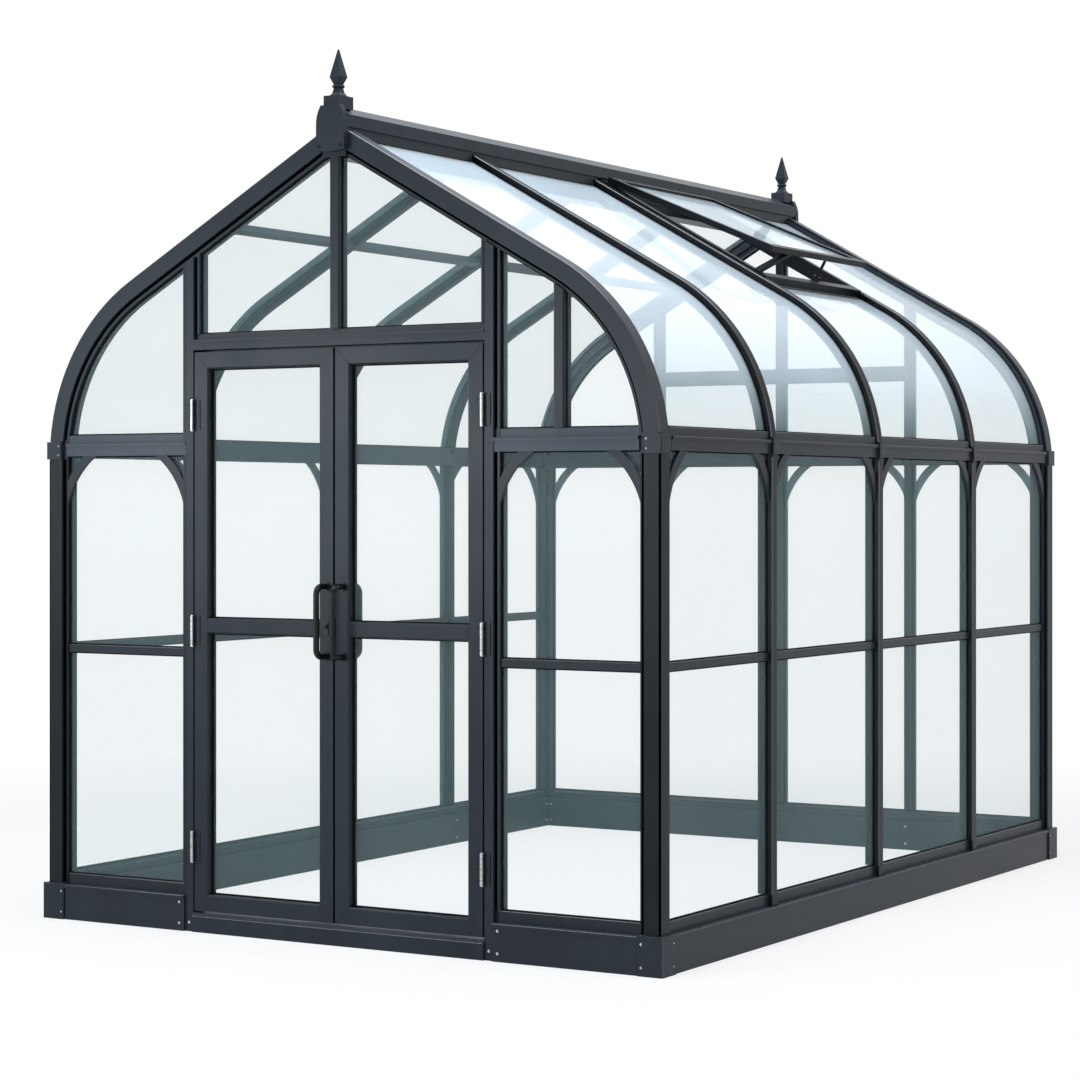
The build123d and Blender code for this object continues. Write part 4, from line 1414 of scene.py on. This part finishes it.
@dataclass
class LockPlate:
    """Black escutcheon round the lock of the left leaf."""

    plan: Plan
    palette: Palette
    centre: Span = (-0.0325, 1.030)
    half: Span = (0.0115, 0.0225)
    bend: float = 0.006
    bend_steps: int = 6
    levels: tuple[Span, ...] = ((0.001, 0.0), (-0.0015, 0.0), (-0.0022, 0.0008))

    def outline(self, inset: float) -> list[Span]:
        """Rounded outline of the plate.

        Args:
            inset: Distance inside its edge.

        Returns:
            Places and heights.
        """
        points = []
        for quarter, (a, b) in enumerate(((1, 1), (-1, 1), (-1, -1), (1, -1))):
            x = self.centre[0] + a * (self.half[0] - self.bend)
            z = self.centre[1] + b * (self.half[1] - self.bend)
            for i in range(self.bend_steps + 1):
                turn = math.pi / 2 * (quarter + i / self.bend_steps)
                reach = self.bend - inset
                points.append((x + reach * math.cos(turn), z + reach * math.sin(turn)))
        return points

    def build(self) -> None:
        """Make the plate with an eased edge."""
        shell = Shell()
        for depth, inset in self.levels:
            shell.corners += [Vector((x, self.plan.front + depth, z)) for x, z in self.outline(inset)]
        count = len(shell.corners) // len(self.levels)
        for level in range(len(self.levels) - 1):
            a, b = level * count, (level + 1) * count
            shell.faces += [(a + k, a + (k + 1) % count, b + (k + 1) % count, b + k) for k in range(count)]
        top = count * (len(self.levels) - 1)
        shell.faces += [tuple(range(count)), tuple(range(top, top + count))]
        shell.piece("lock_plate", self.palette.black, Slot.BLACK, Body.LEFT, True)


@dataclass(frozen=True)
class Head:
    """Sizes of one kind of fastener."""

    sides: int
    radius: float
    height: float
    washer_radius: float
    washer_height: float


class HeadKind(Enum):
    """Kinds of fasteners."""

    BOLT = Head(6, 0.0038, 0.0026, 0.0049, 0.0009)
    SCREW = Head(20, 0.0026, 0.0012, 0.0034, 0.0003)
    CAP = Head(24, 0.0062, 0.0022, 0.0070, 0.0008)


@dataclass
class Fasteners:
    """Bolt and screw heads, placed by Geometry Nodes on marked points."""

    plan: Plan
    palette: Palette
    seed: int = 7
    washer_sides: int = 24
    shank: float = 0.7
    crown: float = 0.72
    heights: Span = (0.026, 0.097)
    pocket: float = 0.004
    beside: float = 0.013
    plinth_end: float = 0.020
    jamb_foot: Span = (0.016, 0.030)
    eave_level: float = 0.020
    bracket_proud: float = 0.006
    bracket_edge: float = 0.011
    bracket_pair: Span = (-0.015, 0.015)
    cover_proud: float = 0.008
    plate_reach: float = 0.018
    plate_proud: float = 0.003
    plate_rows: Triple = (-0.036, 0.0, 0.036)
    lock: Triple = (-0.0325, -1.661, 1.036)

    def tree(self) -> bpy.types.NodeTree:
        """Node group that puts a head on every point, once made.

        Returns:
            The group.
        """
        found = bpy.data.node_groups.get("fastener_heads")
        if found is not None:
            return found
        tree = bpy.data.node_groups.new("fastener_heads", "GeometryNodeTree")
        face = tree.interface
        face.new_socket("Points", in_out="INPUT", socket_type="NodeSocketGeometry")
        face.new_socket("Sides", in_out="INPUT", socket_type="NodeSocketInt")
        for name in ("Radius", "Height", "Washer Radius", "Washer Height"):
            face.new_socket(name, in_out="INPUT", socket_type="NodeSocketFloat")
        face.new_socket("Seed", in_out="INPUT", socket_type="NodeSocketInt")
        face.new_socket("Finish", in_out="INPUT", socket_type="NodeSocketMaterial")
        face.new_socket("Heads", in_out="OUTPUT", socket_type="NodeSocketGeometry")
        graph = Graph(tree)
        given = tree.nodes.new("NodeGroupInput")
        take = {s.name: Wire(graph, s) for s in given.outputs if s.name}
        up = {name: graph.node("ShaderNodeCombineXYZ", None, {"Z": wire}) for name, wire in (
            ("washer", take["Washer Height"] * 0.5),
            ("head", take["Washer Height"] + take["Height"] * (self.shank / 2)),
            ("crown", take["Washer Height"] + take["Height"] * self.shank),
        )}
        shapes = {
            "washer": graph.node("GeometryNodeMeshCylinder", None, {
                "Vertices": self.washer_sides, "Radius": take["Washer Radius"],
                "Depth": take["Washer Height"]}),
            "head": graph.node("GeometryNodeMeshCylinder", None, {
                "Vertices": take["Sides"], "Radius": take["Radius"], "Depth": take["Height"] * self.shank}),
            "crown": graph.node("GeometryNodeMeshCone", None, {
                "Vertices": take["Sides"], "Radius Top": take["Radius"] * self.crown,
                "Radius Bottom": take["Radius"], "Depth": take["Height"] * (1 - self.shank)}),
        }
        placed = [graph.node("GeometryNodeTransform", None, {"Geometry": shapes[k], "Translation": up[k]})
                  for k in shapes]
        head = graph.node("GeometryNodeJoinGeometry", None, {"Geometry": placed})
        axis = graph.node("GeometryNodeInputNamedAttribute", {"data_type": "FLOAT_VECTOR"}, {"Name": "axis"})
        facing = graph.node("FunctionNodeAlignRotationToVector", {"axis": "Z"}, {"Vector": axis})
        heads = graph.node("GeometryNodeInstanceOnPoints", None, {
            "Points": take["Points"], "Instance": head, "Rotation": facing})
        turn = graph.node("FunctionNodeRandomValue", {"data_type": "FLOAT"}, {
            2: 0.0, 3: math.pi, "Seed": take["Seed"]}, 1)
        spin = graph.node("ShaderNodeCombineXYZ", None, {"Z": turn})
        turned = graph.node("GeometryNodeRotateInstances", None, {"Instances": heads, "Rotation": spin})
        solid = graph.node("GeometryNodeRealizeInstances", None, {"Geometry": turned})
        done = graph.node("GeometryNodeSetMaterial", None, {"Geometry": solid, "Material": take["Finish"]})
        graph.node("NodeGroupOutput", None, {"Heads": done})
        return tree

    def place(self, name: str, kind: HeadKind, marks: Sequence[Mark], finish: Finish, slot: Slot,
              body: Body) -> bpy.types.Object:
        """Make the heads of one kind on one body.

        Args:
            name: Name of the piece.
            kind: Kind of head.
            marks: Points and the ways that the heads stand.
            finish: Their finish.
            slot: The record's slot that the finish stands for; it is not used.
            body: The body that they ride on.

        Returns:
            The piece.
        """
        mesh = bpy.data.meshes.new(name + "_marks")
        mesh.from_pydata([m[0] for m in marks], [], [])
        axes = mesh.attributes.new("axis", "FLOAT_VECTOR", "POINT")
        axes.data.foreach_set("vector", [c for m in marks for c in m[1]])
        host = bpy.data.objects.new(name + "_marks", mesh)
        bpy.context.scene.collection.objects.link(host)
        modifier = host.modifiers.new("heads", "NODES")
        modifier.node_group = self.tree()
        head = kind.value
        values = {
            "Sides": head.sides, "Radius": head.radius, "Height": head.height,
            "Washer Radius": head.washer_radius, "Washer Height": head.washer_height,
            "Seed": self.seed, "Finish": finish.material(),
        }
        for item in modifier.node_group.interface.items_tree:
            if item.in_out == "INPUT" and item.name in values:
                modifier[item.identifier] = values[item.name]
        graph = bpy.context.evaluated_depsgraph_get()
        solid = bpy.data.meshes.new_from_object(host.evaluated_get(graph))
        host.modifiers.remove(modifier)
        bpy.data.objects.remove(host)
        solid.name = name
        return settle(bpy.data.objects.new(name, solid), finish, body)

    def base_marks(self) -> list[Mark]:
        """Bolts of the base: corner blocks, plinth ends, side posts and the inner joints.

        Returns:
            Points and ways.
        """
        plan, marks = self.plan, []
        edge, face_y = plan.inner + self.beside, plan.block_proud - self.pocket
        face_x = plan.half_width + plan.block_proud - self.pocket
        inner = plan.half_width - plan.base_inner
        for z in self.heights:
            for hand in (1, -1):
                for y, way in plan.ends:
                    marks.append(((hand * edge, y + way * face_y, z), (0, way, 0)))
                    marks.append(((hand * face_x, y - way * (plan.corner - self.beside), z), (hand, 0, 0)))
                    corner = y - way * plan.base_inner
                    marks.append(((hand * (inner - self.beside), corner, z), (0, -way, 0)))
                    marks.append(((hand * inner, corner - way * self.beside, z), (-hand, 0, 0)))
                end = hand * (plan.jamb_out + self.plinth_end)
                marks.append(((end, plan.front - plan.plinth_proud, z), (0, -1, 0)))
                marks += [((hand * inner, y, z), (-hand, 0, 0)) for y in plan.ribs]
            marks += [((x, plan.back - plan.base_inner, z), (0, -1, 0)) for x in plan.back_posts]
        back, z = self.jamb_foot
        marks += [((hand * (plan.jamb_out - back), plan.front, z), (0, -1, 0)) for hand in (1, -1)]
        return marks

    def eave_marks(self) -> list[Mark]:
        """Screws of the eave brackets and the covers at the side posts.

        Returns:
            Points and ways.
        """
        plan, marks = self.plan, []
        level, edge = plan.eave + self.eave_level, plan.half_width - plan.main
        for hand in (1, -1):
            side = hand * (plan.half_width + self.bracket_proud)
            for y, way in plan.ends:
                face = y + way * self.bracket_proud
                x = hand * (edge + self.bracket_edge)
                marks += [((x, face, level + z), (0, way, 0)) for z in self.bracket_pair]
                marks.append(((side, y - way * (plan.main - self.bracket_edge), level), (hand, 0, 0)))
            cover = hand * (plan.half_width + self.cover_proud)
            marks += [((cover, y, level), (hand, 0, 0)) for y in plan.ribs]
        return marks

    def plate_marks(self) -> list[Mark]:
        """Screws at the foot of the ridge end plates."""
        out, (aside, z) = self.plan.plate_thickness - self.pocket, self.plan.plate_screw
        return [((x, y + way * out, z), (0, way, 0)) for y, way in self.plan.ends for x in (-aside, aside)]

    def hinge_marks(self, hand: int, way: int) -> list[Mark]:
        """Screws of the hinge plates of one side.

        Args:
            hand: 1 for the right side and -1 for the left one.
            way: 1 for the jamb's plates and -1 for the leaf's.

        Returns:
            Points and ways.
        """
        x = hand * (self.plan.hinge_x + way * self.plate_reach)
        y = self.plan.front - self.plate_proud
        heights = [z + dz for z in self.plan.hinge_heights for dz in self.plate_rows]
        return [((x, y, z), (0, -1, 0)) for z in heights]

    def pin_marks(self) -> list[Mark]:
        """Place the caps on the ends of the hinge pins.

        Returns:
            Point and direction of each cap.
        """
        plan = self.plan
        y, half = plan.front - plan.hinge_out, plan.hinge_length / 2
        return [((hand * plan.hinge_x, y, z + way * half), (0, 0, way))
                for hand in (1, -1) for z in plan.hinge_heights for way in (1, -1)]

    def build(self) -> None:
        """Make all fasteners."""
        steel, paint, black = self.palette.steel, self.palette.paint, self.palette.black
        dark, house = self.palette.dark_steel, Body.HOUSE
        self.place("bolts_base", HeadKind.BOLT, self.base_marks(), steel, Slot.STEEL, house)
        self.place("screws_eaves", HeadKind.SCREW, self.eave_marks(), dark, Slot.STEEL, house)
        self.place("bolts_ridge_plates", HeadKind.BOLT, self.plate_marks(), paint, Slot.PAINT, house)
        jamb = self.hinge_marks(1, 1) + self.hinge_marks(-1, 1)
        self.place("screws_jamb_hinges", HeadKind.SCREW, jamb, black, Slot.BLACK, house)
        self.place("caps_hinge_pins", HeadKind.CAP, self.pin_marks(), steel, Slot.STEEL, house)
        for hand, body in ((1, Body.RIGHT), (-1, Body.LEFT)):
            marks = self.hinge_marks(hand, -1)
            self.place(f"screws_{body.value}", HeadKind.SCREW, marks, black, Slot.BLACK, body)
        self.place("lock_core", HeadKind.SCREW, [(self.lock, (0, -1, 0))], paint, Slot.PAINT, Body.LEFT)


# Stage


@dataclass
class Studio:
    """White floor and backdrop with soft light."""

    half_floor: float = 40.0
    cool: Colour = (0.84, 0.93, 1.0)
    ambient: float = 0.40
    lamps: tuple[tuple[str, Triple, Triple, Span, float], ...] = (
        ("lamp_top", (0.6, -1.6, 6.4), (0.0, -0.4, 0.0), (4.6, 4.6), 380.0),
        ("lamp_right", (6.4, 0.8, 2.2), (0.0, 0.4, 0.6), (3.0, 3.0), 45.0),
        ("lamp_front", (-3.0, -6.5, 1.8), (0.2, -1.65, 1.65), (3.4, 1.3), 140.0),
    )

    def world(self) -> None:
        """White for the camera and for reflections, softer as light."""
        world = bpy.data.worlds.new("studio")
        world.use_nodes = True
        graph = Graph(world.node_tree)
        strength = graph.seen().ramp(0.0, 1.0, self.ambient, 1.0)
        back = graph.node("ShaderNodeBackground", None, {"Color": WHITE, "Strength": strength})
        graph.node("ShaderNodeOutputWorld", None, {"Surface": back})
        bpy.context.scene.world = world

    def floor(self) -> None:
        """Large floor at the foot of the part."""
        s = self.half_floor
        mesh = bpy.data.meshes.new("floor")
        mesh.from_pydata([(-s, -s, 0), (s, -s, 0), (s, s, 0), (-s, s, 0)], [], [(0, 1, 2, 3)])
        made = bpy.data.objects.new("floor", mesh)
        bpy.context.scene.collection.objects.link(made)
        mesh.materials.append(StudioFloor("stage_floor").material())

    def light(self) -> None:
        """Soft area lamps."""
        for name, place, target, size, power in self.lamps:
            data = bpy.data.lights.new(name, "AREA")
            data.shape = "RECTANGLE"
            data.size, data.size_y = size
            data.energy = power
            data.color = self.cool
            made = bpy.data.objects.new(name, data)
            made.location = place
            way = Vector(target) - Vector(place)
            made.rotation_euler = way.to_track_quat("-Z", "Y").to_euler()
            bpy.context.scene.collection.objects.link(made)

    def build(self) -> None:
        """Make the stage."""
        self.world()
        self.floor()
        self.light()
        bpy.context.scene.view_settings.view_transform = "Standard"
        LOG.info("studio: floor, world and %d lamps", len(self.lamps))


@dataclass(frozen=True)
class Viewpoint:
    """Camera at the photographer's place, level and turned to the house."""

    place: Triple = (5.224, -9.0901, 1.4364)
    turn: float = math.radians(30.859)
    lens: float = 92.91
    sensor: float = 36.0
    shift: Span = (0.0, -0.0336)

    def build(self) -> None:
        """Make the camera and set it as the scene's."""
        data = bpy.data.cameras.new("camera")
        data.lens = self.lens
        data.sensor_width = self.sensor
        data.shift_x, data.shift_y = self.shift
        made = bpy.data.objects.new("camera", data)
        made.location = self.place
        made.rotation_euler = (math.pi / 2, 0.0, self.turn)
        bpy.context.scene.collection.objects.link(made)
        bpy.context.scene.camera = made


def main() -> None:
    """Dress the frame, add the fittings and set the stage."""
    logging.basicConfig(level=logging.INFO, format="%(message)s")
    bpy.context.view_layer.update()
    plan, palette = Plan(), Palette()
    Frame(frame["nodes"], palette).dress()
    back = RailFreeBack(frame["nodes"], plan, palette)
    back.panes()
    back.rails()
    gaskets = Gaskets(plan, palette)
    gaskets.walls()
    gaskets.gables()
    gaskets.roof()
    shade_strips_and_seams = ShadeStripsAndSeams(plan, palette)
    shade_strips_and_seams.build()
    Edges(plan, palette).build(shade_strips_and_seams.rib_line(0.0))
    DoorTrim(plan, palette).build()
    LockPlate(plan, palette).build()
    Fasteners(plan, palette).build()
    Studio().build()
    Viewpoint().build()
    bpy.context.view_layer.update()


if __name__ == "__main__":
    main()
